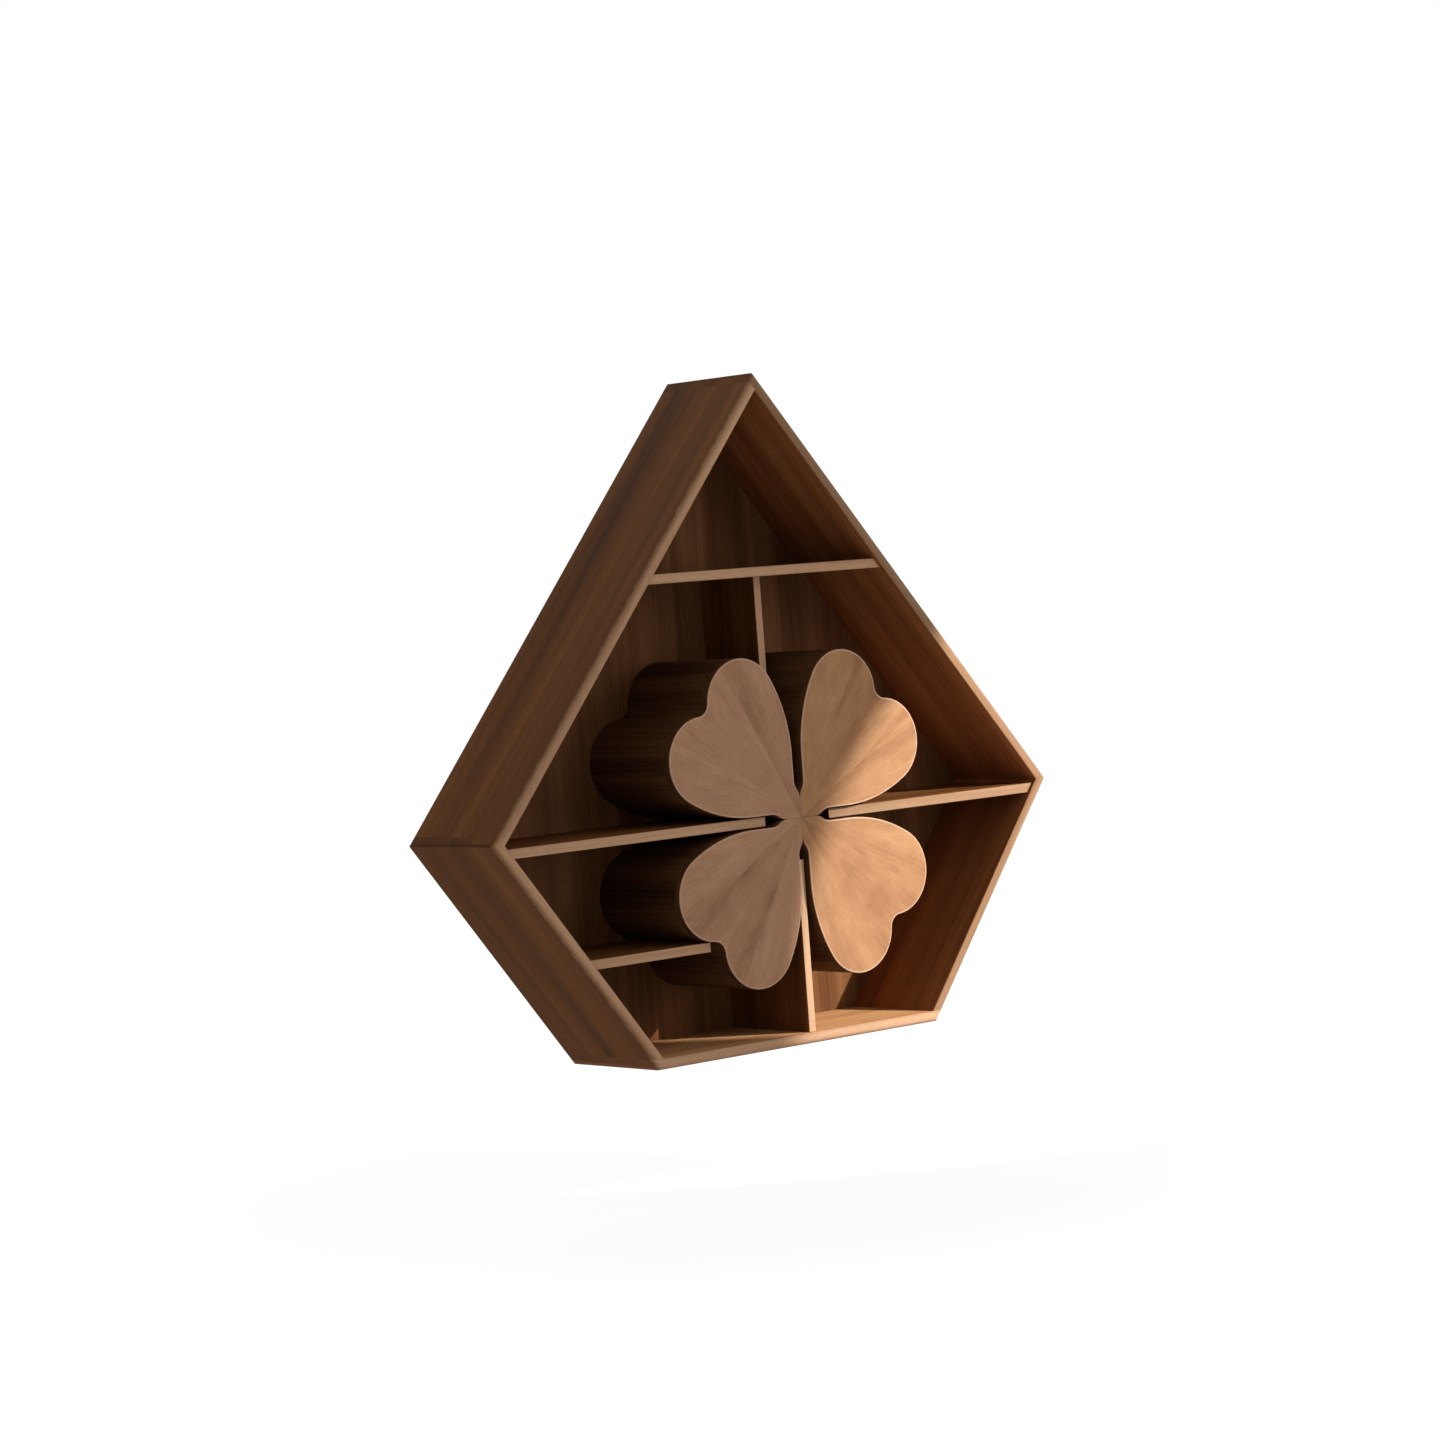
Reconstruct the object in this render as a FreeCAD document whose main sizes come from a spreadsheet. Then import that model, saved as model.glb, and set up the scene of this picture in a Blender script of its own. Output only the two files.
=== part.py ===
import FreeCAD, Part
import math
import os
import Sketcher

# Wall bookcase: a kite shaped walnut case hung on a cleat, with shelves, dividers and a clover of
# four heart shaped leaves, each of them a drawer. X runs to the right, Y into the wall, Z up.
# The origin is on the wall plane, at the middle of the wall cleat's row of bolt holes.

SIZES = {
    # the case
    "half_width": (820.0, "middle to either side corner"),
    "apex_height": (983.0, "side corners up to the apex"),
    "foot_drop": (531.0, "side corners down to the underside"),
    "foot_half_width": (415.0, "middle to either bottom corner"),
    "case_depth": (307.0, "wall to the front edges of the case"),
    "board_thickness": (25.0, "case boards"),
    "edge_round": (4.0, "rounding of the front arrises"),
    "wall_gap": (20.0, "room for the cleats behind the back panel"),
    "back_thickness": (8.0, "back panel"),
    "groove_depth": (8.0, "groove for the back panel in the boards"),
    "groove_clearance": (0.5, "back panel's edge to the groove's bottom"),
    # shelves and dividers
    "shelf_thickness": (22.0, "all shelves"),
    "divider_thickness": (20.0, "both dividers"),
    "shelf_setback": (10.0, "front edge of the case to the front edges of the shelves"),
    "upper_setback": (90.0, "front edge of the case to that of the upper divider"),
    "shelf_round": (1.5, "rounding of the shelves' front arrises"),
    "top_shelf_level": (550.0, "top face of the top shelf above the side corners"),
    "centre_clearance": (95.0, "clover's middle to the nearest end of shelf or divider"),
    "low_shelf_gap": (0.3, "lower left shelf below the leaf that lies over it"),
    "low_shelf_end": (10.0, "lower left shelf's end beyond the middle of the lobe over it"),
    # the clover
    "clover_offset": (40.0, "clover's middle to the right of the apex"),
    "clover_drop": (20.0, "clover's middle below the side corners"),
    "seam_gap": (1.5, "gap between the leaves where their tips meet"),
    "seam_length": (42.0, "clover's middle to where the seams open"),
    "blend_length": (44.0, "length over which a seam opens to the full gap"),
    "flank_gap": (28.0, "gap between two leaves along their flanks"),
    "flank_level": (142.0, "clover's middle to the end of the straight flank"),
    "flank_radius": (348.0, "curve of the flank"),
    "lobe_radius": (100.0, "curve of each lobe"),
    "leaf_reach": (370.0, "clover's middle to the crown of a lobe"),
    "notch_radius": (30.0, "curve of the notch between two lobes"),
    "front_thickness": (18.0, "leaf fronts"),
    "front_proud": (5.0, "leaf fronts stand out of the case's front by this"),
    "front_gap": (2.0, "leaf front to the shell's front edge"),
    "rim_round": (2.0, "rounding of a leaf front's rim"),
    "shell_wall": (12.0, "bent plywood of the leaf shells"),
    # inside each leaf
    "cell_width": (206.0, "shell's flank to the web that carries the far runner"),
    "web_thickness": (12.0, "web boards"),
    "box_lift": (18.0, "shell's level flank to the drawer box"),
    "box_height": (165.0, "drawer box"),
    "box_board": (10.0, "drawer box sides, front and back"),
    "box_floor": (6.0, "drawer box bottom"),
    "box_back_room": (16.0, "back of the drawer box to the back panel"),
    "runner_space": (10.0, "width taken by a runner at each side of the box"),
    "rail_sheet": (1.5, "steel of the runner rails"),
    "rail_height": (34.0, "case rail"),
    "rail_level": (100.0, "clover's middle up or down to the runners"),
    "rail_back_room": (20.0, "rear ends of the rails to the back panel"),
    "rail_gap": (0.5, "running gap between the rails of a runner"),
    "rail_front_gap": (4.0, "front ends of the case rails behind the shell's front edge"),
    # the cleats
    "rail_rise": (560.0, "side corners up to the bolt holes in the wall cleat"),
    "cleat_thickness": (18.0, "both cleats"),
    "cleat_height": (70.0, "both cleats, on their longer side"),
    "cleat_lap": (35.0, "bolt holes up to the middle of the bevel"),
    "cleat_end_gap": (30.0, "ends of the wall cleat to the case boards"),
    "bolt_spacing": (140.0, "hole to hole in the wall cleat"),
    "bolt_radius": (4.0, "holes in the wall cleat"),
    # dowels and screws
    "dowel_radius": (4.0, "all dowels"),
    "dowel_length": (36.0, "all dowels"),
    "dowel_inset": (45.0, "front or back of a joint to the nearest dowel"),
    "screw_radius": (1.75, "screws through the back panel"),
    "screw_length": (38.0, "screws through the back panel"),
    "screw_head_radius": (3.5, "their countersunk heads"),
    "screw_head_height": (2.5, "their countersunk heads"),
    "screw_inset": (45.0, "end of a shelf or divider to the first screw in it"),
    "screw_spacing": (260.0, "screw to screw along a shelf or divider"),
    "rail_screw_radius": (1.5, "screws that hold the case rails"),
    "rail_screw_length": (9.0, "screws that hold the case rails"),
    "rail_screw_head": (3.0, "radius of their heads"),
    "rail_screw_head_height": (1.8, "their heads"),
    "rail_screw_inset": (30.0, "end of a rail to its screws"),
}
BOLT_COUNT = 4

doc = FreeCAD.newDocument("WallBookcase")
sheet = doc.addObject("Spreadsheet::Sheet", "Sizes")
for row, (alias, (value, note)) in enumerate(SIZES.items(), start=1):
    sheet.set("A%d" % row, note)
    sheet.set("B%d" % row, str(value))
    sheet.setAlias("B%d" % row, alias)
doc.recompute()


def size(alias):
    """The value of one cell of the sheet."""
    return float(getattr(sheet, alias))


def bind(obj, **expressions):
    """Bind properties to the sheet. A double underscore stands for a dot, and @ for the sheet's name."""
    for name, expression in expressions.items():
        obj.setExpression(name.replace("__", "."), expression.replace("@", "Sizes."))
    return obj


# The level of the side corners, about which every front drawing is made
LEVEL = "-@rail_rise"
CLOVER_LEVEL = "-@rail_rise - @clover_drop"
PANEL_REAR = "@wall_gap"
PANEL_FACE = "@wall_gap + @back_thickness"
FRONT_REAR = "@case_depth + @front_proud - @front_thickness"
SHELL_FRONT = FRONT_REAR + " - @front_gap"

CORNERS = {
    "apex": (None, "@apex_height"),
    "right": ("@half_width", None),
    "foot_right": ("@foot_half_width", "-@foot_drop"),
    "foot_left": ("-@foot_half_width", "-@foot_drop"),
    "left": ("-@half_width", None),
}
# each side of the case runs clockwise from one corner to the next
SIDES = {
    "upper_right": ("apex", "right"),
    "lower_right": ("right", "foot_right"),
    "bottom": ("foot_right", "foot_left"),
    "lower_left": ("foot_left", "left"),
    "upper_left": ("left", "apex"),
}
# how a sketch numbers its own origin and axes
ORIGIN_INDEXES = (-1, 1)
X_AXIS_INDEX = -1
Z_AXIS_INDEX = -2
SLANT_ANGLE = math.radians(1)
ROUND_OFF = 1e-4


def signed(expression):
    """The number that a corner's expression stands for."""
    if expression is None:
        return 0.0
    value = size(expression.strip("-@"))
    return -value if expression.startswith("-") else value


def corner_place(name):
    across, up = CORNERS[name]
    return FreeCAD.Vector(signed(across), signed(up), 0)


def side_direction(side):
    first, last = SIDES[side]
    return (corner_place(last) - corner_place(first)).normalize()


def crossing(first, second):
    """Where two lines, each a point and a direction, cross."""
    (p, u), (q, v) = first, second
    share = ((q.x - p.x) * v.y - (q.y - p.y) * v.x) / (u.x * v.y - u.y * v.x)
    return p + u * share


def left_of(direction):
    return FreeCAD.Vector(-direction.y, direction.x, 0)


def runs_along(edge, direction):
    """Whether a straight edge of a solid runs along a direction of the front view."""
    if edge.Curve.TypeId != "Part::GeomLine":
        return False
    run = edge.Vertexes[-1].Point - edge.Vertexes[0].Point
    line = FreeCAD.Vector(direction.x, 0, direction.y)
    return min(run.getAngle(line), run.getAngle(-line)) < SLANT_ANGLE


class FrontDrawing:
    """A sketch in the front view: named guide lines, and one outline through their crossings."""

    def __init__(self, body, name, stand_off=None):
        self.sketch = body.newObject("Sketcher::SketchObject", name)
        plane = next(f for f in body.Origin.OriginFeatures if f.Role == "XZ_Plane")
        self.sketch.AttachmentSupport = [(plane, "")]
        self.sketch.MapMode = "FlatFace"
        self.sketch.Visibility = False
        if stand_off:
            bind(self.sketch, AttachmentOffset__Base__z=stand_off)
        self.guides = {}

    def constrain(self, *parts, expression=None):
        index = self.sketch.addConstraint(Sketcher.Constraint(*parts))
        if expression:
            self.sketch.setExpression("Constraints[%d]" % index, expression.replace("@", "Sizes."))

    def fix(self, geometry, point, across, up):
        """Tie one point of a guide line to the origin."""
        if across is None:
            self.constrain("PointOnObject", geometry, point, Z_AXIS_INDEX)
        else:
            self.constrain("DistanceX", *ORIGIN_INDEXES, geometry, point, signed(across), expression=across)
        if up is None:
            self.constrain("PointOnObject", geometry, point, X_AXIS_INDEX)
        else:
            self.constrain("DistanceY", *ORIGIN_INDEXES, geometry, point, signed(up), expression=up)

    def guide(self, name, start, end):
        self.guides[name] = self.sketch.addGeometry(Part.LineSegment(start, end), True)
        return self.guides[name]

    def line(self, name):
        """A guide line's point and direction, as the sketch has solved it."""
        segment = self.sketch.Geometry[self.guides[name]]
        return segment.StartPoint, (segment.EndPoint - segment.StartPoint).normalize()

    def side(self, name):
        """The outer face of one side of the case."""
        first, last = SIDES[name]
        geometry = self.guide(name, corner_place(first), corner_place(last))
        self.fix(geometry, 1, *CORNERS[first])
        self.fix(geometry, 2, *CORNERS[last])

    def beside(self, name, base, distance, left=False):
        """A line parallel to another, to the right or left of its direction."""
        start, along = self.line(base)
        nominal = size("board_thickness")
        shift = left_of(along) * nominal
        if not left:
            shift = -shift
        length = self.sketch.Geometry[self.guides[base]].length()
        geometry = self.guide(name, start + shift, start + shift + along * length)
        self.constrain("Parallel", geometry, self.guides[base])
        self.constrain("Distance", geometry, 1, self.guides[base], nominal, expression=distance)
        self.sketch.recompute()

    def inner(self, *names):
        """The outer and inner faces of sides of the case."""
        for name in names:
            self.side(name)
            self.beside("inner_" + name, name, "@board_thickness")

    def level(self, name, height):
        """A horizontal line at a height over the side corners."""
        reach = FreeCAD.Vector(size("half_width"), 0, 0)
        geometry = self.guide(name, -reach, reach)
        self.constrain("Horizontal", geometry)
        self.constrain("DistanceY", *ORIGIN_INDEXES, geometry, 1, 0.0, expression=height)
        self.sketch.recompute()

    def upright(self, name, distance):
        """A vertical line at a distance to the right of the apex."""
        reach = FreeCAD.Vector(0, size("half_width"), 0)
        geometry = self.guide(name, -reach, reach)
        self.constrain("Vertical", geometry)
        self.constrain("DistanceX", *ORIGIN_INDEXES, geometry, 1, 0.0, expression=distance)
        self.sketch.recompute()

    def outline(self, *corners):
        """The outline through the crossings of pairs of guide lines."""
        places = [crossing(self.line(a), self.line(b)) for a, b in corners]
        edges = []
        for start, end in zip(places, places[1:] + places[:1]):
            edges.append(self.sketch.addGeometry(Part.LineSegment(start, end), False))
        for place, pair in enumerate(corners):
            self.constrain("Coincident", edges[place - 1], 2, edges[place], 1)
            for name in pair:
                self.constrain("PointOnObject", edges[place], 1, self.guides[name])

    def slab(self, first, second, third, fourth):
        """The outline of a piece between two pairs of guide lines, taken in turn round it."""
        self.outline((first, second), (second, third), (third, fourth), (fourth, first))


def pad(body, sketch, length):
    feature = body.newObject("PartDesign::Pad", body.Name + "_pad")
    feature.Profile = sketch
    bind(feature, Length=length)
    doc.recompute()
    return feature


def pocket(body, sketch, length):
    """A pocket towards the room from its sketch's plane."""
    before = body.Shape.Volume
    feature = body.newObject("PartDesign::Pocket", body.Name + "_pocket")
    feature.Profile = sketch
    feature.Reversed = True
    bind(feature, Length=length)
    doc.recompute()
    if body.Shape.Volume >= before:
        raise RuntimeError("the pocket in %s cuts nothing" % body.Name)
    return feature


def round_front(body, base, radius, chosen):
    """Round the chosen edges in the front plane of a feature."""
    front = base.Shape.BoundBox.YMin
    names = []
    for number, edge in enumerate(base.Shape.Edges, start=1):
        flat = all(abs(vertex.Point.y - front) < ROUND_OFF for vertex in edge.Vertexes)
        if flat and chosen(edge):
            names.append("Edge%d" % number)
    feature = body.newObject("PartDesign::Fillet", body.Name + "_round")
    feature.Base = (base, names)
    bind(feature, Radius=radius)
    doc.recompute()
    return feature


def drawn_body(name, stand_off):
    """A body at the level of the side corners, with a front drawing."""
    body = doc.addObject("PartDesign::Body", name)
    bind(body, Placement__Base__z=LEVEL)
    return body, FrontDrawing(body, name + "_section", stand_off)


# Case boards: each butts against one neighbour or laps over its end

def case_board(side, before, after):
    """A case board between the guide lines that cut its ends, grooved for the back panel."""
    body, drawing = drawn_body(side + "_blank", None)
    neighbours = [name.replace("inner_", "") for name in (before, after)]
    drawing.inner(side, *neighbours)
    drawing.slab(side, after, "inner_" + side, before)
    blank = pad(body, drawing.sketch, "@case_depth")
    round_front(body, blank, "@edge_round", lambda edge: runs_along(edge, side_direction(side)))
    groove = FrontDrawing(body, side + "_groove", PANEL_REAR)
    groove.inner(side, *neighbours)
    for name in (side, *neighbours):
        groove.beside("seat_" + name, "inner_" + name, "@groove_depth", left=True)
    start, end = ("seat_" + name for name in neighbours)
    groove.slab("seat_" + side, end, "inner_" + side, start)
    pocket(body, groove.sketch, "@back_thickness")
    return body


def panel():
    """The back panel, held in the grooves of all five boards."""
    body, drawing = drawn_body("back_panel_blank", PANEL_REAR)
    drawing.inner(*SIDES)
    for name in SIDES:
        drawing.beside("seat_" + name, "inner_" + name, "@groove_depth", left=True)
        drawing.beside("edge_" + name, "seat_" + name, "@groove_clearance")
    edges = ["edge_" + name for name in SIDES]
    drawing.outline(*zip(edges, edges[1:] + edges[:1]))
    pad(body, drawing.sketch, "@back_thickness")
    return body


blanks = {
    "upper_right_board": case_board("upper_right", "upper_left", "inner_lower_right"),
    "lower_right_board": case_board("lower_right", "upper_right", "inner_bottom"),
    "bottom_board": case_board("bottom", "lower_right", "lower_left"),
    "lower_left_board": case_board("lower_left", "inner_bottom", "upper_left"),
    "upper_left_board": case_board("upper_left", "inner_lower_left", "inner_upper_right"),
    "back_panel": panel(),
}


# Shelves and dividers: between the case and the clover, on the clover's middle lines

# clover's middle to the middle of a lobe, on the shorter way: the lobe touches the flank's curve inside
LOBE_NEAR = ("(@flank_gap / 2 + @flank_radius - sqrt(pow(@flank_radius - @lobe_radius; 2)"
             " - pow(@leaf_reach - @lobe_radius - @flank_level; 2)))")
LOBE_FAR = "(@leaf_reach - @lobe_radius)"
HORIZONTAL = FreeCAD.Vector(1, 0, 0)
VERTICAL = FreeCAD.Vector(0, 1, 0)


def inner_board(name, setback, direction, draw):
    """A shelf or divider from the back panel to its setback, with a front edge rounded lengthwise."""
    body, drawing = drawn_body(name + "_blank", PANEL_FACE)
    draw(drawing)
    blank = pad(body, drawing.sketch, "@case_depth - @wall_gap - @back_thickness - " + setback)
    round_front(body, blank, "@shelf_round", lambda edge: runs_along(edge, direction))
    return body


def draw_top_shelf(drawing):
    drawing.inner("upper_left", "upper_right")
    drawing.level("top", "@top_shelf_level")
    drawing.beside("underside", "top", "@shelf_thickness")
    drawing.slab("inner_upper_left", "top", "inner_upper_right", "underside")


def draw_middle_shelf(side, sign):
    """A shelf on the clover's level, from a lower side board towards the clover."""
    def draw(drawing):
        drawing.inner(side)
        drawing.level("middle", "-@clover_drop")
        drawing.beside("top", "middle", "@shelf_thickness / 2", left=True)
        drawing.beside("underside", "middle", "@shelf_thickness / 2")
        drawing.upright("end", "@clover_offset %s @centre_clearance" % sign)
        drawing.slab("inner_" + side, "top", "end", "underside")
    return draw


def draw_low_shelf(drawing):
    """It runs under the lower left leaf's outer lobe and ends where that lobe comes down on it."""
    drawing.inner("lower_left")
    drawing.level("top", "-(@clover_drop + %s + @lobe_radius + @low_shelf_gap)" % LOBE_NEAR)
    drawing.beside("underside", "top", "@shelf_thickness")
    drawing.upright("end", "@clover_offset - @low_shelf_end - " + LOBE_FAR)
    drawing.slab("inner_lower_left", "top", "end", "underside")


def draw_divider_faces(drawing):
    drawing.upright("middle", "@clover_offset")
    drawing.beside("right_face", "middle", "@divider_thickness / 2")
    drawing.beside("left_face", "middle", "@divider_thickness / 2", left=True)


def draw_upper_divider(drawing):
    draw_divider_faces(drawing)
    drawing.level("head", "@top_shelf_level - @shelf_thickness")
    drawing.level("foot", "@centre_clearance - @clover_drop")
    drawing.slab("left_face", "head", "right_face", "foot")


def draw_lower_divider(drawing):
    draw_divider_faces(drawing)
    drawing.inner("bottom")
    drawing.level("head", "-@centre_clearance - @clover_drop")
    drawing.slab("left_face", "head", "right_face", "inner_bottom")


SHELVES = {
    "top_shelf": draw_top_shelf,
    "left_shelf": draw_middle_shelf("lower_left", "-"),
    "right_shelf": draw_middle_shelf("lower_right", "+"),
    "lower_left_shelf": draw_low_shelf,
}
for shelf, draw_shelf in SHELVES.items():
    blanks[shelf] = inner_board(shelf, "@shelf_setback", HORIZONTAL, draw_shelf)
blanks["upper_divider"] = inner_board("upper_divider", "@upper_setback", VERTICAL, draw_upper_divider)
blanks["lower_divider"] = inner_board("lower_divider", "@shelf_setback", VERTICAL, draw_lower_divider)


# Cleats: the case hangs by its bevelled cleat on the bevel of the wall cleat

BEVEL_LEVEL = "@rail_rise + @cleat_lap"
BEVEL_ANGLE = -45.0


def bevel_tool(name, above):
    """A block with one face in the bevel's plane, which is higher on the room's side."""
    tool = doc.addObject("Part::Box", name)
    tool.Placement.Rotation = FreeCAD.Rotation(FreeCAD.Vector(1, 0, 0), BEVEL_ANGLE)
    reach = "@cleat_height * sqrt(2)"
    drop = "0" if above else reach
    bind(tool, Length="2 * @half_width", Width=reach, Height=reach,
         Placement__Base__x="-@half_width",
         Placement__Base__y="-@cleat_thickness / 2 - @cleat_height / 2 - (%s) / sqrt(2)" % drop,
         Placement__Base__z="@cleat_lap + @cleat_height / 2 - (%s) / sqrt(2)" % drop)
    return tool


def cut(name, base, tool):
    """What is left of one object without another."""
    feature = doc.addObject("Part::Cut", name)
    feature.Base = base
    feature.Tool = tool
    doc.recompute()
    return feature


def cleat_blank(name, stand_off, low, high, end_gap=None):
    """A cleat between two levels, before its bevel is cut."""
    body, drawing = drawn_body(name, stand_off)
    drawing.inner("upper_left", "upper_right")
    drawing.level("low", low)
    drawing.level("high", high)
    ends = ["inner_upper_left", "inner_upper_right"]
    if end_gap:
        for end in ends:
            drawing.beside("end_" + end, end, end_gap)
        ends = ["end_" + end for end in ends]
    drawing.slab(ends[0], "high", ends[1], "low")
    pad(body, drawing.sketch, "@cleat_thickness")
    return body


WALL_CLEAT_HIGH = BEVEL_LEVEL + " + @cleat_thickness / 2"
CASE_CLEAT_LOW = BEVEL_LEVEL + " + @wall_gap - @cleat_thickness - @cleat_thickness / 2"
wall_cleat_blank = cleat_blank("wall_cleat_blank", None, WALL_CLEAT_HIGH + " - @cleat_height",
                               WALL_CLEAT_HIGH, "@cleat_end_gap")
case_cleat_blank = cleat_blank("case_cleat_blank", "@wall_gap - @cleat_thickness", CASE_CLEAT_LOW,
                               CASE_CLEAT_LOW + " + @cleat_height")
bevelled_wall_cleat = cut("wall_cleat_bevelled", wall_cleat_blank, bevel_tool("over_the_bevel", True))
blanks["case_cleat"] = cut("case_cleat_bevelled", case_cleat_blank, bevel_tool("under_the_bevel", False))


def group(name, members):
    feature = doc.addObject("Part::Compound", name)
    feature.Links = members
    doc.recompute()
    return feature


def rod(name, radius, length, rotation, x, y, z):
    """A cylinder from a place, along a turned Z axis."""
    feature = doc.addObject("Part::Cylinder", name)
    feature.Placement.Rotation = rotation
    bind(feature, Radius=radius, Height=length, Placement__Base__x=x, Placement__Base__y=y,
         Placement__Base__z=z)
    return feature


TOWARDS_ROOM = FreeCAD.Rotation(FreeCAD.Vector(1, 0, 0), 90)
TOWARDS_RIGHT = FreeCAD.Rotation(FreeCAD.Vector(0, 1, 0), 90)
TOWARDS_LEFT = FreeCAD.Rotation(FreeCAD.Vector(0, 1, 0), -90)

bolt_holes = group("bolt_holes", [
    rod("bolt_hole_%d" % number, "@bolt_radius", "@cleat_thickness", TOWARDS_ROOM,
        "(%d - %d / 2) * @bolt_spacing" % (number, BOLT_COUNT - 1), "0", "0")
    for number in range(BOLT_COUNT)])


# Leaves: a heart with its tip at the clover's middle, drawn in the upper right quarter

class Leaf:
    def __init__(self, name, across, up, angle):
        self.name = name
        self.across = across
        self.up = up
        self.rotation = FreeCAD.Rotation(FreeCAD.Vector(0, 1, 0), angle)


LEAVES = [
    Leaf("upper_right_leaf", 1, 1, 0),
    Leaf("lower_right_leaf", 1, -1, 90),
    Leaf("lower_left_leaf", -1, -1, 180),
    Leaf("upper_left_leaf", -1, 1, -90),
]
HALF_TURN_ANGLE = math.pi
DIAGONAL_ANGLE = math.pi / 4


def arc(centre, radius, start, end):
    circle = Part.Circle(centre, FreeCAD.Vector(0, 0, 1), radius)
    return Part.ArcOfCircle(circle, start, end)


def bearing(start, end):
    return math.atan2(end.y - start.y, end.x - start.x)


class HeartDrawing(FrontDrawing):
    """Half of a heart, from its tip up the flank, over the lobe and down into the notch."""

    def __init__(self, body, name, stand_off, inset=None):
        super().__init__(body, name, stand_off)
        self.wall = size(inset.strip("@")) if inset else 0.0
        self.less = " - " + inset if inset else ""
        self.more = " + " + inset if inset else ""
        self.tangents = []
        axis = self.guide("axis", FreeCAD.Vector(0, 0, 0), FreeCAD.Vector(1, 1, 0) * size("leaf_reach"))
        self.constrain("Coincident", axis, 1, *ORIGIN_INDEXES)
        self.constrain("Angle", axis, DIAGONAL_ANGLE)
        self.constrain("DistanceX", *ORIGIN_INDEXES, axis, 2, size("leaf_reach"), expression="@leaf_reach")
        self.draw(with_tip=inset is None)

    def add(self, shape):
        return self.sketch.addGeometry(shape, False)

    def draw(self, with_tip):
        flank_x = size("flank_gap") / 2 + self.wall
        flank_top = FreeCAD.Vector(flank_x, size("flank_level"), 0)
        flank_radius = size("flank_radius") - self.wall
        lobe_radius = size("lobe_radius") - self.wall
        notch_radius = size("notch_radius") + self.wall
        flank_centre = flank_top + FreeCAD.Vector(flank_radius, 0, 0)
        lobe_up = size("leaf_reach") - size("lobe_radius")
        lobe_in = math.sqrt((flank_radius - lobe_radius) ** 2 - (lobe_up - flank_top.y) ** 2)
        lobe_centre = FreeCAD.Vector(flank_centre.x - lobe_in, lobe_up, 0)
        # the notch's centre is on the diagonal, at the sum of both radii from the lobe's centre
        middle = (lobe_centre.x + lobe_centre.y) / 2
        aside = (lobe_centre.y - lobe_centre.x) / math.sqrt(2)
        onwards = math.sqrt((lobe_radius + notch_radius) ** 2 - aside ** 2)
        notch_centre = FreeCAD.Vector(1, 1, 0) * (middle + onwards / math.sqrt(2))
        flank_end = bearing(flank_centre, lobe_centre)
        lobe_end = bearing(lobe_centre, notch_centre)
        if with_tip:
            tip = FreeCAD.Vector(1, 1, 0) * (size("seam_gap") / 2)
            flank_foot = FreeCAD.Vector(flank_x, size("seam_length") + size("blend_length"), 0)
        else:
            tip = FreeCAD.Vector(1, 1, 0) * flank_x
            flank_foot = tip
        flank = self.add(Part.LineSegment(flank_foot, flank_top))
        curve = self.add(arc(flank_centre, flank_radius, flank_end, HALF_TURN_ANGLE))
        lobe = self.add(arc(lobe_centre, lobe_radius, lobe_end, flank_end))
        notch_start = lobe_end + HALF_TURN_ANGLE
        notch = self.add(arc(notch_centre, notch_radius, notch_start, HALF_TURN_ANGLE + DIAGONAL_ANGLE))
        notch_end = notch_centre - FreeCAD.Vector(1, 1, 0) * (notch_radius / math.sqrt(2))
        closing = self.add(Part.LineSegment(notch_end, tip))
        self.constrain("Vertical", flank)
        self.constrain("Tangent", flank, 2, curve, 2)
        self.constrain("Tangent", curve, 1, lobe, 2)
        self.constrain("Tangent", lobe, 1, notch, 1)
        self.constrain("Coincident", notch, 2, closing, 1)
        self.constrain("PointOnObject", closing, 1, self.guides["axis"])
        self.constrain("PointOnObject", closing, 2, self.guides["axis"])
        self.constrain("PointOnObject", notch, 3, self.guides["axis"])
        self.measure("DistanceX", flank, 2, flank_x, "@flank_gap / 2" + self.more)
        self.measure("DistanceY", flank, 2, flank_top.y, "@flank_level")
        self.measure("DistanceY", lobe, 3, lobe_up, "@leaf_reach - @lobe_radius")
        self.constrain("Radius", curve, flank_radius, expression="@flank_radius" + self.less)
        self.constrain("Radius", lobe, lobe_radius, expression="@lobe_radius" + self.less)
        self.constrain("Radius", notch, notch_radius, expression="@notch_radius" + self.more)
        if with_tip:
            self.draw_tip(tip, flank_foot, flank, closing)
        else:
            self.constrain("Coincident", closing, 2, flank, 1)

    def measure(self, kind, geometry, point, value, expression):
        self.constrain(kind, *ORIGIN_INDEXES, geometry, point, value, expression=expression)

    def draw_tip(self, tip, flank_foot, flank, closing):
        """The seam beside the next leaf, then two equal arcs out to the flank."""
        seam_end = FreeCAD.Vector(tip.x, size("seam_length"), 0)
        out = flank_foot.x - seam_end.x
        on = flank_foot.y - seam_end.y
        radius = (out ** 2 + on ** 2) / (4 * out)
        turn = math.asin(on / (2 * radius))
        seam = self.add(Part.LineSegment(tip, seam_end))
        first_centre = seam_end + FreeCAD.Vector(radius, 0, 0)
        opening = self.add(arc(first_centre, radius, HALF_TURN_ANGLE - turn, HALF_TURN_ANGLE))
        closing_in = self.add(arc(flank_foot - FreeCAD.Vector(radius, 0, 0), radius, -turn, 0.0))
        self.constrain("Vertical", seam)
        self.constrain("Coincident", closing, 2, seam, 1)
        self.constrain("Tangent", seam, 2, opening, 2)
        self.constrain("Tangent", opening, 1, closing_in, 1)
        self.constrain("Tangent", closing_in, 2, flank, 1)
        self.constrain("Equal", opening, closing_in)
        self.measure("DistanceX", seam, 1, tip.x, "@seam_gap / 2")
        self.measure("DistanceY", seam, 2, seam_end.y, "@seam_length")
        self.measure("DistanceY", flank, 1, flank_foot.y, "@seam_length + @blend_length")


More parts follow.
